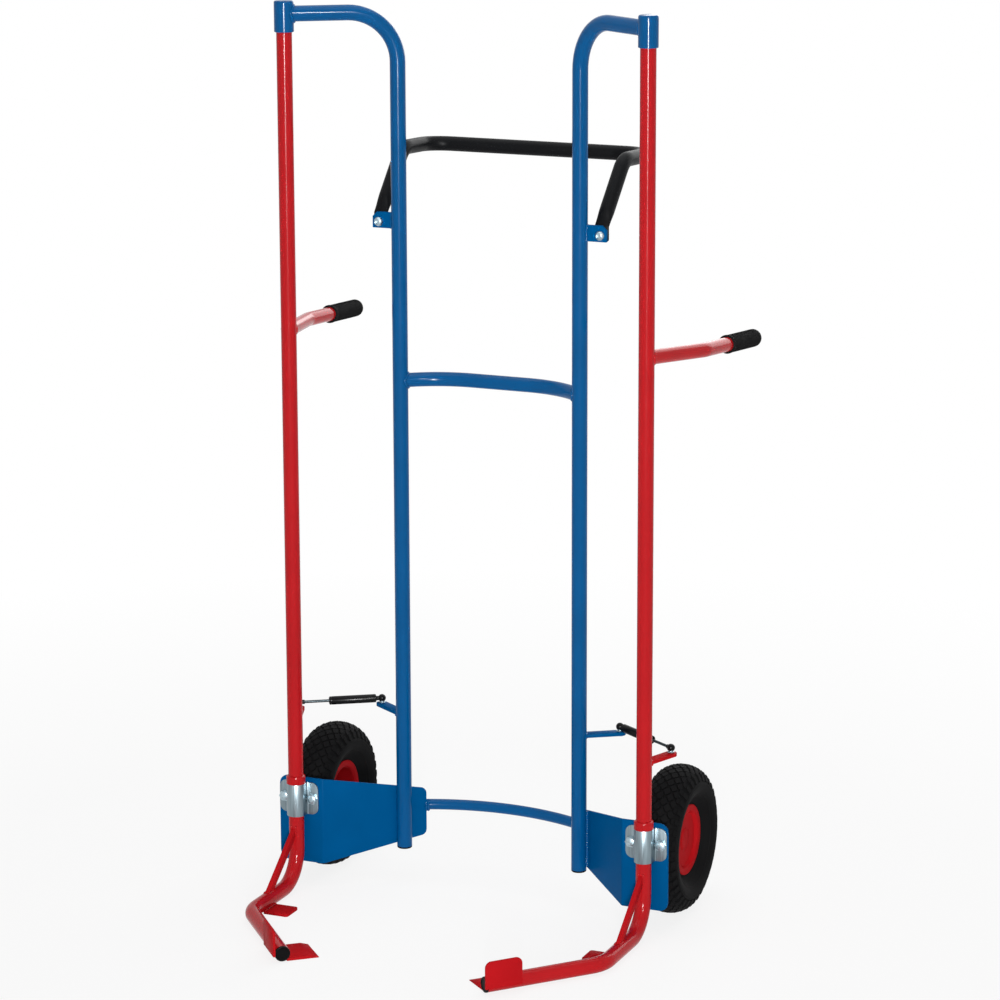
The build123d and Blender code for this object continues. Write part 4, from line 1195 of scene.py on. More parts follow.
class TRUCK_OT_arms(bpy.types.Operator):
    """Swivel arms with collar, brace, heel plate, toe plate, stop tab and toe plug"""

    bl_idname = "truck.arms"
    bl_label = "Swivel arms"

    def execute(self, context):
        sizes = context.scene.truck_sizes
        for name, side in SIDES:
            self.tube(name, side, sizes)
            self.collar(name, side)
            self.brace(name, side)
            self.heel(name, side, sizes)
            self.toe(name, side, sizes)
            self.stop_tab(name, side)
            self.toe_cap(name, side)
        return {"FINISHED"}

    @staticmethod
    def tube(name, side, sizes):
        """Arm from the top sleeve down to the floor and along it to the toe."""
        knee, tip, _, _, foot_z = foot_line(side)
        head = at(side * ARM_X, ARM_Y, SLEEVE_TOP - SLEEVE_CAP - ARM_HEAD_PLAY)
        bm = bmesh.new()
        sweep(bm, rounded([head, at(side * ARM_X, ARM_Y, foot_z), knee, tip], FOOT_BEND * MM, 16),
              sizes.tube_od / 2, TUBE_SIDES)
        piece(f"{name}_bent_arm", bm, "red", f"{name}_arm", [f"{name}_arm_tube"])

    @staticmethod
    def collar(name, side):
        """Ring that rests on the clamp and carries the arm."""
        bm = bmesh.new()
        lathe(bm, [
            (CLAMP_TOP, COLLAR_BORE_R), (CLAMP_TOP, COLLAR_R - 0.6), (CLAMP_TOP + 0.6, COLLAR_R),
            (COLLAR_TOP - 3.6, COLLAR_R), (COLLAR_TOP - 3, COLLAR_R),
            (COLLAR_TOP - 1, COLLAR_R - 0.8), (COLLAR_TOP, COLLAR_R - 2.6),
            (COLLAR_TOP, COLLAR_BORE_R),
        ], at(side * ARM_X, ARM_Y, 0), UP, closed=True)
        piece(f"{name}_stop_collar", bm, "red", f"{name}_arm", [f"{name}_arm_collar"])

    @staticmethod
    def brace(name, side):
        """Slim bar on edge across the inside of the floor bend."""
        foot_z = foot_line(side)[-1]
        high = at(side * ARM_X, ARM_Y - BRACE_SET, BRACE_TOP)
        low = at(side * ARM_X, ARM_Y - BRACE_FOOT, foot_z + BRACE_SET)
        run = (low - high).normalized()
        across = Vector((BRACE_W / 2 * MM, 0, 0))
        thick = run.cross(Vector((1, 0, 0))).normalized() * (BRACE_T / 2 * MM)
        bm = bmesh.new()
        slab(bm, [high - across - thick, low - across - thick, low + across - thick,
                  high + across - thick], thick * 2)
        soften(bm, 1.2 * MM, 3, angle=50)
        piece(f"{name}_flat_brace", bm, "red_sheet", f"{name}_arm", [f"{name}_arm_brace"])

    @staticmethod
    def heel(name, side, sizes):
        """Plate under the straight run of the foot, with two rounded corners."""
        near, far = ARM_Y - HEEL_NEAR, ARM_Y - HEEL_NEAR - HEEL_LENGTH
        outer, reach = ARM_X - SOLE_BUTT, ARM_X - HEEL_REACH
        a, b, c, d = [at(side * x, y, 0) for x, y in
                      ((outer, near), (reach, near), (reach, far), (outer, far))]
        bm = bmesh.new()
        slab(bm, [a, *corner_arc(b, a, c, HEEL_CORNER * MM), *corner_arc(c, b, d, HEEL_CORNER * MM),
                  d], UP * sizes.sole_t)
        soften(bm, 0.6 * MM, angle=50)
        piece(f"{name}_heel_sole", bm, "red_sheet", f"{name}_arm", [f"{name}_heel_plate"])

    @staticmethod
    def toe(name, side, sizes):
        """Plate at the tip of the foot, bevelled to a thin inner edge."""
        _, tip, ahead, inward, _ = foot_line(side)
        floor = Vector((tip.x, tip.y, 0))
        back = ahead * (-TOE_LENGTH * MM)
        butt = inward * (SOLE_BUTT * MM)
        low = [floor + butt, floor + inward * (TOE_REACH * MM),
               floor + inward * (TOE_REACH_REAR * MM) + back, floor + butt + back]
        high = [p + UP * sizes.sole_t for p in low]
        lip = [low[i] + UP * (TOE_EDGE * MM) for i in (1, 2)]
        for i in (1, 2):
            high[i] -= inward * (TOE_BEVEL * MM)
        bm = bmesh.new()
        lv, hv, tv = [[bm.verts.new(p) for p in points] for points in (low, high, lip)]
        for corners in (
            lv, hv, (hv[1], tv[0], tv[1], hv[2]), (lv[1], lv[2], tv[1], tv[0]),
            (lv[0], lv[1], tv[0], hv[1], hv[0]), (lv[2], lv[3], hv[3], hv[2], tv[1]),
            (lv[3], lv[0], hv[0], hv[3]),
        ):
            bm.faces.new(corners)
        soften(bm, 0.35 * MM, angle=60)
        piece(f"{name}_toe_sole", bm, "red_sheet", f"{name}_arm", [f"{name}_toe_plate"])

    @staticmethod
    def stop_tab(name, side):
        """Upright tab on the outer side of the toe, with two rounded corners."""
        _, tip, ahead, inward, _ = foot_line(side)
        front = Vector((tip.x, tip.y, 0)) - inward * (TAB_OUT * MM) + ahead * (TAB_AHEAD * MM)
        back = front - ahead * (TAB_LENGTH * MM)
        top, bottom, corner = UP * (TAB_TOP * MM), UP * (TAB_BOTTOM * MM), TAB_CORNER * MM
        outline = [front + bottom, *corner_arc(front + top, front, back + top, corner, 8),
                   *corner_arc(back + top, front + top, back, corner, 8), back + bottom]
        bm = bmesh.new()
        slab(bm, outline, inward * (-TAB_T * MM))
        soften(bm, 0.6 * MM, angle=50)
        piece(f"{name}_side_stop", bm, "red_sheet", f"{name}_arm", [f"{name}_stop_tab"])

    @staticmethod
    def toe_cap(name, side):
        """Plastic plug in the tip of the foot, dished in the middle."""
        _, tip, ahead, _, _ = foot_line(side)
        bm = bmesh.new()
        lathe(bm, [
            (-PLUG_STUB, 0), (-PLUG_STUB, PLUG_STUB_R), (0, PLUG_STUB_R), (0, PLUG_RIM_R),
            (1.6, PLUG_RIM_R), (2.9, 12.9), (PLUG_RIM, 11.8), (3.3, 10.4), (2.6, 9.6), (2.6, 0),
        ], tip, ahead)
        piece(f"{name}_toe_cap", bm, "plastic", f"{name}_arm", [f"{name}_foot_plug"])


class TRUCK_OT_side_handles(bpy.types.Operator):
    """Side handle tubes with their ribbed rubber grips"""

    bl_idname = "truck.side_handles"
    bl_label = "Side handles"

    def execute(self, context):
        sizes = context.scene.truck_sizes
        tree = rib_tree(finish("grip", context.scene.truck_colours))
        for name, side in SIDES:
            start, knee, end = handle_line(side)
            start = start + (knee - start).normalized() * (BRANCH_START * MM)
            bm = bmesh.new()
            sweep(bm, rounded([start, knee, end], HANDLE_BEND * MM), sizes.bar_od / 2, TUBE_SIDES)
            piece(f"{name}_handle_bend", bm, "red", f"{name}_arm", [f"{name}_handle_tube"])
            self.grip(name, end, (end - knee).normalized(), tree, sizes)
        return {"FINISHED"}

    @staticmethod
    def grip(name, end, run, tree, sizes):
        """Moulded grip pushed over the tube, with a flange, raised ribs and a rounded end."""
        origin = end + run * ((GRIP_END - GRIP_LENGTH) * MM)
        inner_end = GRIP_LENGTH - GRIP_END
        r = sizes.grip_od / 2 / MM
        bm = bmesh.new()
        lathe(bm, [
            (0, GRIP_BORE_R), (0, r), (0.8, r + 0.8), (3.2, r + 0.8), (4.4, r), (6, r - 0.5),
            (116, r - 0.5), (120, r), (122.5, r - 0.6), (125.5, r - 2.4), (128, r - 5),
            (129.4, r - 8.5), (GRIP_LENGTH, r - 12), (GRIP_LENGTH, 0), (inner_end, 0),
            (inner_end, GRIP_BORE_R),
        ], origin, run, closed=True)
        ribs = grow(bpy.data.meshes.new("rib_base"), tree, {
            "Ribs": sizes.grip_ribs, "Pitch": RIB_SPAN * MM / (sizes.grip_ribs - 1),
            "Radius": (r - 0.9) * MM, "Thick": RIB_T * MM})
        turn = Vector((1, 0, 0)).rotation_difference(run).to_matrix().to_4x4()
        ribs.transform(Matrix.Translation(origin + run * (RIB_START * MM)) @ turn)
        bm.from_mesh(ribs)
        bpy.data.meshes.remove(ribs)
        piece(f"{name}_ribbed_grip", bm, "grip", f"{name}_arm", [f"{name}_grip"], sharp=50)


class TRUCK_OT_gas_springs(bpy.types.Operator):
    """Gas springs with their ball studs and the levers on the arms"""

    bl_idname = "truck.gas_springs"
    bl_label = "Gas springs"

    def execute(self, context):
        for name, side in SIDES:
            frame_ball = at(side * FRAME_BALL[0], FRAME_BALL[1], SPRING_Z)
            arm_ball = at(side * ARM_BALL[0], ARM_BALL[1], SPRING_Z)
            bm = bmesh.new()
            flat_bar(bm, (ARM_X, ARM_Y), ARM_BALL, side)
            piece(f"{name}_arm_lever", bm, "red_sheet", f"{name}_arm", [f"{name}_spring_lever"])
            self.stud(name, "frame_ball_stud", frame_ball, "frame")
            self.stud(name, "arm_ball_stud", arm_ball, f"{name}_arm")
            self.cylinder(name, frame_ball, arm_ball)
            self.rod(name, frame_ball, arm_ball)
        return {"FINISHED"}

    @staticmethod
    def stud(name, node, ball, body):
        """Turned stud: nut below the bar, collar above it, neck and ball."""
        profile = [(-16, 0), (-16, 6), (-15.6, 6.5), (-13, 6.5), (-13, 4), (-8, 4), (-8, 5.6),
                   (-7.2, 6.2), (-6.5, 5.6), (-6.2, 3.2), (-4.2, 3)]
        profile += [(BALL_R * math.sin(a), BALL_R * math.cos(a))
                    for a in map(math.radians, range(-50, 90, 10))]
        bm = bmesh.new()
        lathe(bm, [*profile, (BALL_R, 0)], ball, UP, 28)
        piece(f"{name}_{node}_turned", bm, "fastener", body, [f"{name}_{node}"])

    @staticmethod
    def socket(bm, ball):
        """Round cap over a ball, open below."""
        profile = [(SOCKET_R * math.sin(a), SOCKET_R * math.cos(a))
                   for a in map(math.radians, range(-42, 90, 12))]
        profile += [(SOCKET_R, 0), (SOCKET_BORE_R, 0), (4.4, 2.6), (2.6, 4.4), (0, SOCKET_BORE_R),
                    (-4.7, SOCKET_BORE_R)]
        lathe(bm, profile, ball, UP, 36, closed=True)

    def cylinder(self, name, frame_ball, arm_ball):
        """Cylinder with neck, rolled groove and open bore, on the socket of the frame's ball."""
        r, end = CYLINDER_R, CYLINDER_LENGTH
        bm = bmesh.new()
        self.socket(bm, frame_ball)
        lathe(bm, [
            (6, 4), (10.2, 4), (10.4, 5), (11, 6.6), (12.2, r), (end - 5, r), (end - 4.5, r - 0.3),
            (end - 3.4, r - 0.3), (end - 3, r), (end - 1.4, r - 0.1), (end - 0.4, r - 0.7),
            (end, CYLINDER_BORE_R), (17, CYLINDER_BORE_R), (17, 0), (6, 0),
        ], frame_ball, (arm_ball - frame_ball).normalized(), 40, closed=True)
        piece(f"{name}_spring_cylinder", bm, "shiny_black", f"{name}_gas_cylinder",
              [f"{name}_gas_cylinder"])

    def rod(self, name, frame_ball, arm_ball):
        """Ground rod that ends inside the bore, and the socket of the arm's ball."""
        run = (frame_ball - arm_ball).normalized()
        tail = (frame_ball - arm_ball).length / MM - ROD_END
        bm = bmesh.new()
        lathe(bm, [(6.4, 0), (6.4, ROD_R), (tail - 0.6, ROD_R), (tail, ROD_R - 0.6), (tail, 0)],
              arm_ball, run, 28)
        piece(f"{name}_spring_rod", bm, "rod", f"{name}_gas_rod", [f"{name}_gas_rod"])
        bm = bmesh.new()
        self.socket(bm, arm_ball)
        lathe(bm, [(5.6, 0), (5.6, 3.9), (9.6, 3.9), (10.4, 3.3), (10.4, 0)], arm_ball, run, 24)
        piece(f"{name}_rod_socket", bm, "shiny_black", f"{name}_gas_rod")


class TRUCK_OT_wheels(bpy.types.Operator):
    """Pneumatic tyres with block tread, their pressed rims and hub caps"""

    bl_idname = "truck.wheels"
    bl_label = "Wheels"

    def execute(self, context):
        sizes = context.scene.truck_sizes
        tree = row_tree(finish("tyre", context.scene.truck_colours))
        for name, side in SIDES:
            centre = at(side * WHEEL_X, WHEEL_Y, WHEEL_Z)
            self.tyre(name, centre, tree, sizes)
            self.rim(name, centre, Vector((side, 0, 0)))
            self.hub_cap(name, centre, Vector((side, 0, 0)))
        return {"FINISHED"}

    def tyre(self, name, centre, tree, sizes):
        """Oval carcass with two raised rings on each side wall, and its tread."""
        outer = sizes.tyre_r / MM
        depth = sizes.tread_depth / MM
        mid_r, half_h = (BEAD_R + outer) / 2, (outer - BEAD_R) / 2
        half_w = sizes.tyre_w / 2 / MM

        def skin(angle, inset):
            run = math.radians(angle)
            return (half_w - inset) * math.cos(run), mid_r + (half_h - inset) * math.sin(run)

        # From the middle of the tread, set in by its depth, down the side wall to the bead
        half = [skin(angle, depth) for angle in range(90, 11, -6)]
        half += [skin(angle, 0) for angle in range(8, -49, -4)]
        half += [(BEAD_X, BEAD_R), (BEAD_X, TYRE_SEAT_R)]
        profile = [(-a, q) for a, q in reversed(half)] + half[1:]
        profile += [(11, TYRE_SEAT_R), (-11, TYRE_SEAT_R)]
        across = Vector((1, 0, 0))
        bm = bmesh.new()
        lathe(bm, profile, centre, across, 112, closed=True)
        for angle in (2.0, -30.0):
            a, q = skin(angle, 0)
            for s in (-1, 1):
                lathe(bm, [(s * (a - 1), q - 1.1), (s * (a + 0.35), q - 0.5),
                           (s * (a + 0.35), q + 0.5), (s * (a - 1), q + 1.1)],
                      centre, across, 96, closed=True)
        self.tread(bm, tree, sizes.tread_blocks, centre, depth, skin)
        piece(f"{name}_block_tyre", bm, "tyre", f"{name}_wheel", [f"{name}_tyre"], sharp=28)

    @staticmethod
    def tread(bm, tree, count, centre, depth, skin):
        """Rows of diamond blocks, each half a block on from the last, and shoulder bars."""
        for row in range(-TREAD_SIDE_ROWS, TREAD_SIDE_ROWS + 1):
            lean = TREAD_ROW_TURN * row
            along, radius = skin(90 + lean, depth)
            pitch = 2 * math.pi * radius / count
            long, wide, tip, flank = pitch * 0.37, 6.3, 1.3, 1.6
            if abs(row) > TREAD_SIDE_ROWS - TREAD_BAR_ROWS:
                long, wide, tip, flank = pitch * 0.28, 6.6, 5.2, pitch * 0.28 - 1.4
            ring = [(long, -tip), (long, tip), (flank, wide), (-flank, wide), (-long, tip),
                    (-long, -tip), (-flank, -wide), (flank, -wide)]
            # Sunk 0.8 mm into the carcass and drawn in a little at the top
            points = [(-0.8, y, z) for y, z in ring]
            points += [(depth - 0.35, y * 0.93, z * 0.93) for y, z in ring]
            faces = [tuple(range(7, -1, -1)), tuple(range(8, 16))]
            faces += [(i, (i + 1) % 8, (i + 1) % 8 + 8, i + 8) for i in range(8)]
            block = bpy.data.meshes.new("tread_block")
            block.from_pydata([Vector(p) * MM for p in points], [], faces)
            # The outermost bars stand in line with those of the row inside them
            half_step = row % 2 if abs(row) < TREAD_SIDE_ROWS else 0
            mesh = grow(block, tree, {
                "Blocks": count, "Radius": radius * MM, "Along": along * MM,
                "Lean": math.radians(lean), "Phase": half_step * math.pi / count})
            mesh.transform(Matrix.Translation(centre))
            bm.from_mesh(mesh)
            bpy.data.meshes.remove(mesh)

    @staticmethod
    def rim(name, centre, out):
        """Pressed rim: rolled lips, barrel, dished face on the outer side and hub."""
        lip = [(20, 60), (20.5, 61.4), (21.5, 62), (22.4, 61.7), (23, 60.6), (23, 53.4),
               (22.6, 51.6), (21.6, 50)]
        face = [(20, 48.9), (17.8, 48), (16.4, 46.4), (16, 44), (16, 17.05)]
        hub = [(-20, 49), (13, 49), (13, 22), (-25.4, 22), (-26, 21.4), (-26, 17.05)]
        profile = [*reversed(face), *reversed(lip), (20, 52), (-20, 52)]
        profile += [(-a, q) for a, q in lip] + hub
        bm = bmesh.new()
        lathe(bm, profile, centre, out, 96, closed=True)
        piece(f"{name}_pressed_rim", bm, "rim", f"{name}_wheel", [f"{name}_rim"], sharp=28)

    @staticmethod
    def hub_cap(name, centre, out):
        """Shallow cap pressed into the hub, over the end of the axle."""
        bm = bmesh.new()
        lathe(bm, [
            (12, 15), (12, 17), (16, 17), (16, 20), (16.5, 19.9), (17, 19), (17.6, 14), (18, 7),
            (18, 0), (15.6, 0), (15.6, 15),
        ], centre, out, 56, closed=True)
        piece(f"{name}_hub_cap", bm, "rim", f"{name}_wheel", [f"{name}_hub_cover"], sharp=28)


class TRUCK_OT_fasteners(bpy.types.Operator):
    """Bolts and nuts of the clamps and of the push handle"""

    bl_idname = "truck.fasteners"
    bl_label = "Fasteners"

    def execute(self, context):
        sizes = context.scene.truck_sizes
        tree = hex_tree(finish("fastener", context.scene.truck_colours))
        z = (CLAMP_BOTTOM + CLAMP_TOP) / 2
        xs = [s * (ARM_X + k * CLAMP_BOLT_X) for s in (-1, 1) for k in (-1, 1)]
        forward = (math.pi / 2, 0.0, 0.0)
        backward = (-math.pi / 2, 0.0, 0.0)
        ear = PLATE_FRONT - sizes.strap_t / MM
        back = PLATE_FRONT + sizes.plate_t / MM
        tab = LUG_T / 2 + FACE_GAP + PUSH_TAB_T
        for name, node, points, turn, height, dome, reach in (
            ("clamp_bolt_set", "clamp_bolts", [at(x, ear, z) for x in xs], forward, 5.4, 0.3, 13),
            ("clamp_nut_set", "clamp_nuts", [at(x, back, z) for x in xs], backward, 5, 0.02,
             NUT_REACH),
            ("handle_nut_set", "handle_nuts", [at(s * LUG_X, tab, LUG_Z) for s in (-1, 1)],
             backward, 8, 0.1, NUT_REACH),
        ):
            base = bpy.data.meshes.new(name)
            base.from_pydata(points, [], [])
            mesh = grow(base, tree, {
                "Across": sizes.hex_af, "Height": height * MM, "Washer": WASHER_R * MM,
                "Dome": dome, "Shank": BOLT_R * MM, "Reach": reach * MM, "Turn": turn})
            mesh.name = name
            mesh_piece(name, mesh, "fastener", "frame", [node], sharp=30)
        self.button_bolts()
        return {"FINISHED"}

    @staticmethod
    def button_bolts():
        """Round-headed bolts with a hex socket, one at each end of the push handle."""
        bm = bmesh.new()
        for s in (-1, 1):
            seat = at(s * LUG_X, -LUG_T / 2, LUG_Z)
            lathe(bm, [
                (-22, 0), (-22, BOLT_R), (0, BOLT_R), (0, 8.3), (1.6, 8.2), (3.4, 7.5), (4.8, 6.4),
                (5.8, 5.2), (6, 4.7), (2.8, 4.5), (2.8, 0),
            ], seat, Vector((0, -1, 0)), 36)
            rim = [seat + Vector((math.sin(a) * 4.62, -2.9, math.cos(a) * 4.62)) * MM
                   for a in [math.pi * k / 3 for k in range(6)]]
            slab(bm, rim, Vector((0, -0.1 * MM, 0)))
        piece("handle_bolt_set", bm, "fastener", "frame", ["handle_bolts"], sharp=30)


class TRUCK_OT_welds(bpy.types.Operator):
    """Weld beads where tubes, plates and bars meet, painted over with the frame"""

    bl_idname = "truck.welds"
    bl_label = "Weld beads"

    def execute(self, context):
        sizes = context.scene.truck_sizes
        blue = bmesh.new()
        for name, side in SIDES:
            self.tube_seams(blue, side, sizes)
            self.wing_seams(blue, side, sizes)
            self.bar_seams(blue, (UPRIGHT_X, 0), FRAME_BALL, side, sizes)
            self.lug_seams(blue, side, sizes)
            self.axle_seams(blue, side, sizes)
            red = bmesh.new()
            start, knee, _ = handle_line(side)
            bead(red, saddle(at(side * ARM_X, ARM_Y, 0), UP, sizes.tube_od / 2, start, knee - start,
                             sizes.bar_od / 2), sizes.weld)
            self.bar_seams(red, (ARM_X, ARM_Y), ARM_BALL, side, sizes)
            self.foot_seams(red, side, sizes)
            piece(f"{name}_arm_welds", red, "red", f"{name}_arm", sharp=60)
        piece("frame_welds", blue, "blue", "frame", sharp=60)
        return {"FINISHED"}

    @staticmethod
    def tube_seams(bm, side, sizes):
        """Beads round the top of an upright at its sleeve and round the end of the crossbar."""
        tube = sizes.tube_od / 2
        pivot = at(side * ARM_X, ARM_Y, 0)
        bead(bm, saddle(pivot, UP, sizes.sleeve_od / 2, pivot + UP * (TOP_ARM_Z * MM),
                        -top_run(side), tube), sizes.weld)
        post = at(side * UPRIGHT_X, 0, 0)
        bar = (at(side * MID_BAR_FLAT_X, MID_BAR_BOW, 0) - post).normalized()
        bead(bm, saddle(post, UP, tube, post + UP * (MID_BAR_Z * MM), bar, sizes.bar_od / 2),
             sizes.weld)

    @staticmethod
    def wing_seams(bm, side, sizes):
        """Two long beads where the wing of the wheel plate touches the upright."""
        wing = wing_line()
        line = Vector((side * wing.x, wing.y, 0))
        back = Vector((wing.y * side, -wing.x, 0))
        contact = at(side * UPRIGHT_X, 0, 0) + back * (sizes.tube_od / 2 - WING_SEAM_SINK * MM)
        for k in (-1, 1):
            foot = contact + line * (k * WING_SEAM_HALF * MM)
            low, high = [foot + UP * (z * MM) for z in WING_SEAM]
            bead(bm, straight(low, high), sizes.weld * BEAD_WIDE, False)

    @staticmethod
    def bar_seams(bm, root, tip, side, sizes):
        """Beads above and below the root of a flat bar, on the tube it is welded to."""
        r = sizes.tube_od / 2
        post = at(side * root[0], root[1], 0)
        angle = math.atan2(tip[1] - root[1], side * (tip[0] - root[0]))
        spread = math.asin(min(0.95, BRACKET_W / 2 * MM / r))
        steps = 24
        for height in (BRACKET_TOP, BRACKET_TOP - BRACKET_T):
            line = []
            for i in range(steps + 1):
                a = angle - spread + 2 * spread * i / steps
                line.append(post + Vector((math.cos(a) * r, math.sin(a) * r, height * MM)))
            bead(bm, line, sizes.weld * BEAD_THIN, False)

    @staticmethod
    def lug_seams(bm, side, sizes):
        """Beads down the front and the back of a lug."""
        half = LUG_T / 2
        x = math.sqrt((sizes.tube_od / 2 / MM) ** 2 - half**2)
        for y in (-half, half):
            seam = at(side * (UPRIGHT_X + x), y, LUG_Z)
            bead(bm, straight(seam - UP * (LUG_BELOW * MM), seam + UP * (LUG_ABOVE * MM)),
                 sizes.weld * BEAD_THIN, False)

    @staticmethod
    def axle_seams(bm, side, sizes):
        """Beads round the front of the axle where the end of the wing meets it."""
        near, far = bow_line()[AXLE_KINK_STEPS : AXLE_KINK_STEPS + 2]
        if side < 0:
            near, far = mirror_x(near), mirror_x(far)
        run = (far - near).normalized()
        out = Vector((-run.y, run.x, 0)) * side
        steps = 32
        for part in (0.25, 0.85):
            centre = near.lerp(far, part)
            loop = []
            for k in range(steps + 1):
                angle = math.radians(-70 + 140 * k / steps)
                spoke = out * math.cos(angle) + UP * math.sin(angle)
                loop.append(centre + spoke * (sizes.axle_od / 2))
            bead(bm, loop, sizes.weld, False)

    @staticmethod
    def foot_seams(bm, side, sizes):
        """Beads along the foot plates, the stop tab and the ends of the brace."""
        _, tip, ahead, inward, foot_z = foot_line(side)
        weld = sizes.weld * BEAD_THIN
        x = side * (ARM_X - SOLE_SEAM_IN)
        heel = [at(x, ARM_Y - HEEL_NEAR - y, SOLE_SEAM_Z) for y in (1, HEEL_LENGTH - 1)]
        toe = Vector((tip.x, tip.y, SOLE_SEAM_Z * MM)) + inward * (SOLE_SEAM_IN * MM)
        toe = [toe - ahead * (s * MM) for s in (2, TOE_LENGTH - 1)]
        tab = tip - inward * (TAB_SEAM_OUT * MM) + UP * (TAB_SEAM_UP * MM)
        tab = [tab - ahead * (s * MM) for s in (3, TAB_LENGTH - 10)]
        for low, high in (heel, toe, tab):
            bead(bm, straight(low, high), weld, False)
        reach = math.sqrt((sizes.tube_od / 2 / MM) ** 2 - BRACE_CORNER**2)
        for k in (-1, 1):
            x = side * ARM_X + k * BRACE_SEAM_HALF
            top = at(x, ARM_Y - reach, BRACE_TOP - 7)
            bead(bm, straight(top, top + UP * (BRACE_SEAM * MM)), weld, False)
            foot = at(x, ARM_Y - BRACE_FOOT + 10, foot_z + reach)
            bead(bm, straight(foot, foot - Vector((0, BRACE_SEAM * MM, 0))), weld, False)


class TRUCK_OT_inner_parts(bpy.types.Operator):
    """Finishes on the CAD parts that keep their own shape inside the hubs"""

    bl_idname = "truck.inner_parts"
    bl_label = "Hub parts"

    def execute(self, context):
        plated = finish("fastener", context.scene.truck_colours)
        for name, _ in SIDES:
            for node in ("wheel_bearings", "axle_cap"):
                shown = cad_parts[f"{name}_{node}"]
                for slot in shown.material_slots:
                    slot.material = plated
        return {"FINISHED"}


def straight_rays(tree):
    """One for rays of the camera, of gloss and of glass, none for those that only light."""
    ray = add(tree, "ShaderNodeLightPath")
    clear = add(tree, "ShaderNodeMath", {"operation": "MAXIMUM"}, {
        0: ray.outputs["Is Camera Ray"], 1: ray.outputs["Is Transmission Ray"]})
    seen = add(tree, "ShaderNodeMath", {"operation": "MAXIMUM"}, {
        0: clear.outputs[0], 1: ray.outputs["Is Glossy Ray"]})
    return seen.outputs[0]


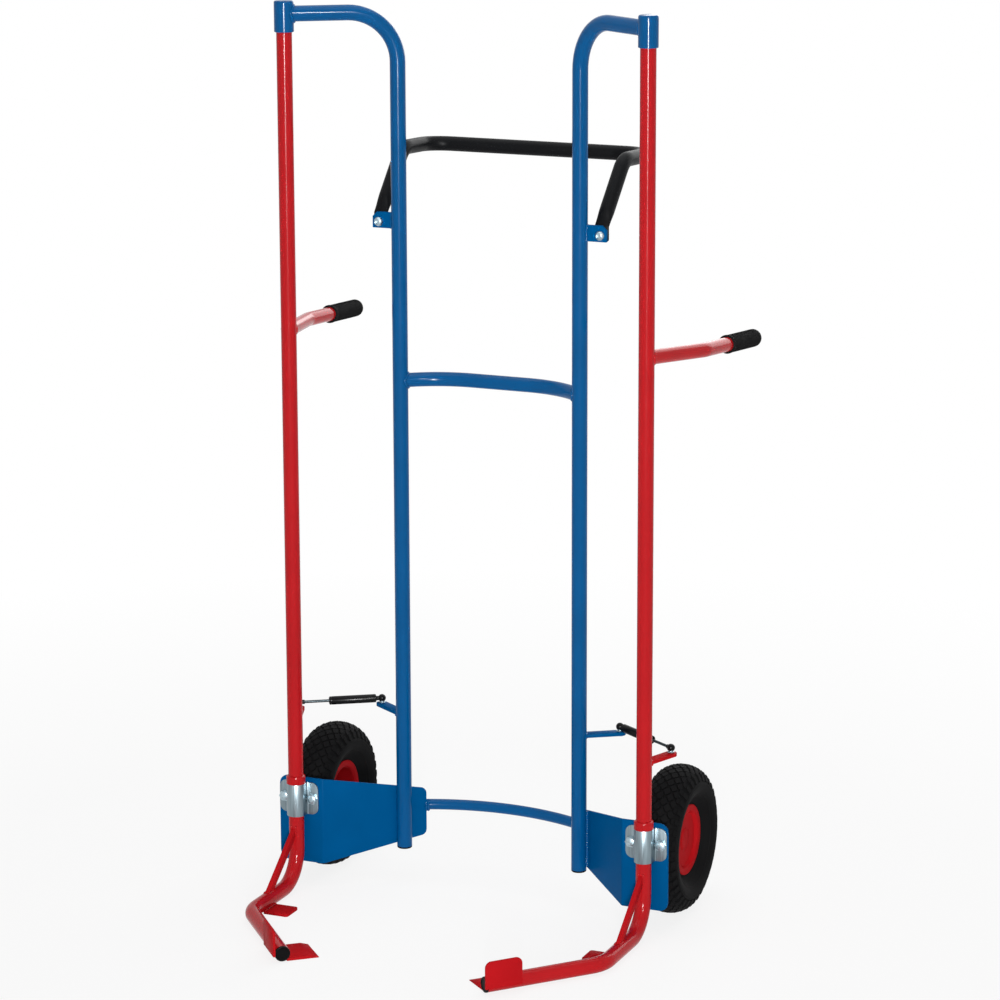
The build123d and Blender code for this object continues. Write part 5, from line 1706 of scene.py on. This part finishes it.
class TRUCK_OT_stage(bpy.types.Operator):
    """Floor, white surround, softboxes, gloss strips and the camera"""

    bl_idname = "truck.stage"
    bl_label = "Stage"

    def execute(self, context):
        scene = context.scene
        scene.view_settings.view_transform = "Standard"
        self.floor(scene)
        self.surround(scene)
        for name, place, width, height, power in LIGHTS:
            lamp = bpy.data.lights.new(name, "AREA")
            lamp.shape = "RECTANGLE"
            lamp.size = width
            lamp.size_y = height
            lamp.energy = power
            light = bpy.data.objects.new(name, lamp)
            light.location = place
            light.rotation_mode = "QUATERNION"
            light.rotation_quaternion = (LIGHT_AIM - Vector(place)).to_track_quat("-Z", "Y")
            # The gloss strips draw thin lines on the paint and add no light to its colour
            light.visible_diffuse = not name.startswith("gloss")
            scene.collection.objects.link(light)
        self.camera(scene)
        return {"FINISHED"}

    def floor(self, scene):
        """Wide flat floor under the wheels."""
        mesh = bpy.data.meshes.new("studio_floor")
        corners = [(x * FLOOR_HALF, y * FLOOR_HALF, 0)
                   for x, y in ((-1, -1), (1, -1), (1, 1), (-1, 1))]
        mesh.from_pydata(corners, [], [(0, 1, 2, 3)])
        mesh.materials.append(self.floor_paint())
        floor = bpy.data.objects.new("studio_floor", mesh)
        scene.collection.objects.link(floor)

    @staticmethod
    def floor_paint():
        """Pale studio floor that keeps a soft shadow and runs into the white backdrop."""
        material = bpy.data.materials.new("pale_studio_floor")
        material.use_nodes = True
        tree = material.node_tree
        tree.nodes.clear()
        where = add(tree, "ShaderNodeTexCoord").outputs["Object"]
        # Uneven coat in patches of about 400 mm
        grain = add(tree, "ShaderNodeTexNoise", {"Scale": 1 / 0.4}, {"Vector": where})
        tone = add(tree, "ShaderNodeMix", {"data_type": "RGBA"}, {0: grain.outputs["Fac"]})
        tone.inputs[6].default_value = srgb("#F3F3F3")
        tone.inputs[7].default_value = srgb("#F8F8F8")
        matt = add(tree, "ShaderNodeBsdfDiffuse", links={"Color": tone.outputs[2]})
        glow = add(tree, "ShaderNodeEmission", {"Strength": 1.0})
        # The lit floor near the truck fades into the white backdrop 1 to 2.4 m away
        away = add(tree, "ShaderNodeVectorMath", {"operation": "LENGTH"}, {0: where})
        fade = add(tree, "ShaderNodeMapRange",
                   {"From Min": 1.0, "From Max": 2.4, "To Min": 0.84, "To Max": 1.0},
                   {"Value": away.outputs["Value"]})
        seen = add(tree, "ShaderNodeMath", {"operation": "MULTIPLY"},
                   {0: straight_rays(tree), 1: fade.outputs["Result"]})
        both = add(tree, "ShaderNodeMixShader", links={
            0: seen.outputs[0], 1: matt.outputs[0], 2: glow.outputs[0]})
        add(tree, "ShaderNodeOutputMaterial", links={"Surface": both.outputs[0]})
        return material

    @staticmethod
    def surround(scene):
        """Even white surround: white to the camera and to gloss, softer as a light."""
        world = bpy.data.worlds.new("white_surround")
        world.use_nodes = True
        tree = world.node_tree
        tree.nodes.clear()
        level = add(tree, "ShaderNodeMapRange", {"To Min": 0.21, "To Max": 1.0},
                    {"Value": straight_rays(tree)})
        light = add(tree, "ShaderNodeBackground", {"Color": srgb("#FFFFFF")},
                    {"Strength": level.outputs["Result"]})
        add(tree, "ShaderNodeOutputWorld", links={"Surface": light.outputs[0]})
        scene.world = world

    @staticmethod
    def camera(scene):
        """Camera at the photograph's place: right of the truck, a little above its top."""
        yaw, pitch, roll = [math.radians(v) for v in CAMERA_TURN]
        right = Vector((math.cos(yaw), math.sin(yaw), 0))
        ahead = Vector((-math.sin(yaw) * math.cos(pitch), math.cos(yaw) * math.cos(pitch),
                        -math.sin(pitch)))
        down = ahead.cross(right)
        turned = right * math.cos(roll) + down * math.sin(roll)
        lower = down * math.cos(roll) - right * math.sin(roll)
        lens = bpy.data.cameras.new("photo_camera")
        lens.sensor_width = SENSOR
        lens.lens = CAMERA_FOCAL * SENSOR
        lens.shift_y = CAMERA_SHIFT
        lens.clip_end = 100.0
        camera = bpy.data.objects.new("photo_camera", lens)
        turn = Matrix((turned, -lower, -ahead)).transposed()
        camera.matrix_world = Matrix.Translation(at(*CAMERA_PLACE)) @ turn.to_4x4()
        scene.collection.objects.link(camera)
        scene.camera = camera


OPERATORS = (
    TRUCK_OT_frame_tubes, TRUCK_OT_wheel_plates, TRUCK_OT_pipe_clamps, TRUCK_OT_arms,
    TRUCK_OT_side_handles, TRUCK_OT_gas_springs, TRUCK_OT_wheels, TRUCK_OT_fasteners,
    TRUCK_OT_welds, TRUCK_OT_inner_parts, TRUCK_OT_stage,
)


class TRUCK_PT_pieces(bpy.types.Panel):
    """Sizes, colours and build steps of the hand truck"""

    bl_idname = "TRUCK_PT_pieces"
    bl_label = "Tyre hand truck"
    bl_space_type = "VIEW_3D"
    bl_region_type = "UI"
    bl_category = "Hand truck"

    def draw(self, context):
        layout = self.layout
        for group in (context.scene.truck_sizes, context.scene.truck_colours):
            for label in group.__annotations__:
                layout.prop(group, label)
        for step in OPERATORS:
            layout.operator(step.bl_idname)


CLASSES = (TruckSizes, TruckColours, *OPERATORS, TRUCK_PT_pieces)


def register():
    """Adds the classes and the truck's settings to Blender."""
    for item in CLASSES:
        bpy.utils.register_class(item)
    bpy.types.Scene.truck_sizes = bpy.props.PointerProperty(type=TruckSizes)
    bpy.types.Scene.truck_colours = bpy.props.PointerProperty(type=TruckColours)


def unregister():
    """Takes the truck's settings and classes out again."""
    del bpy.types.Scene.truck_colours
    del bpy.types.Scene.truck_sizes
    for item in reversed(CLASSES):
        bpy.utils.unregister_class(item)


def main():
    """Builds the truck step by step."""
    register()
    for step in OPERATORS:
        group, name = step.bl_idname.split(".")
        getattr(getattr(bpy.ops, group), name)()


if __name__ == "__main__":
    main()
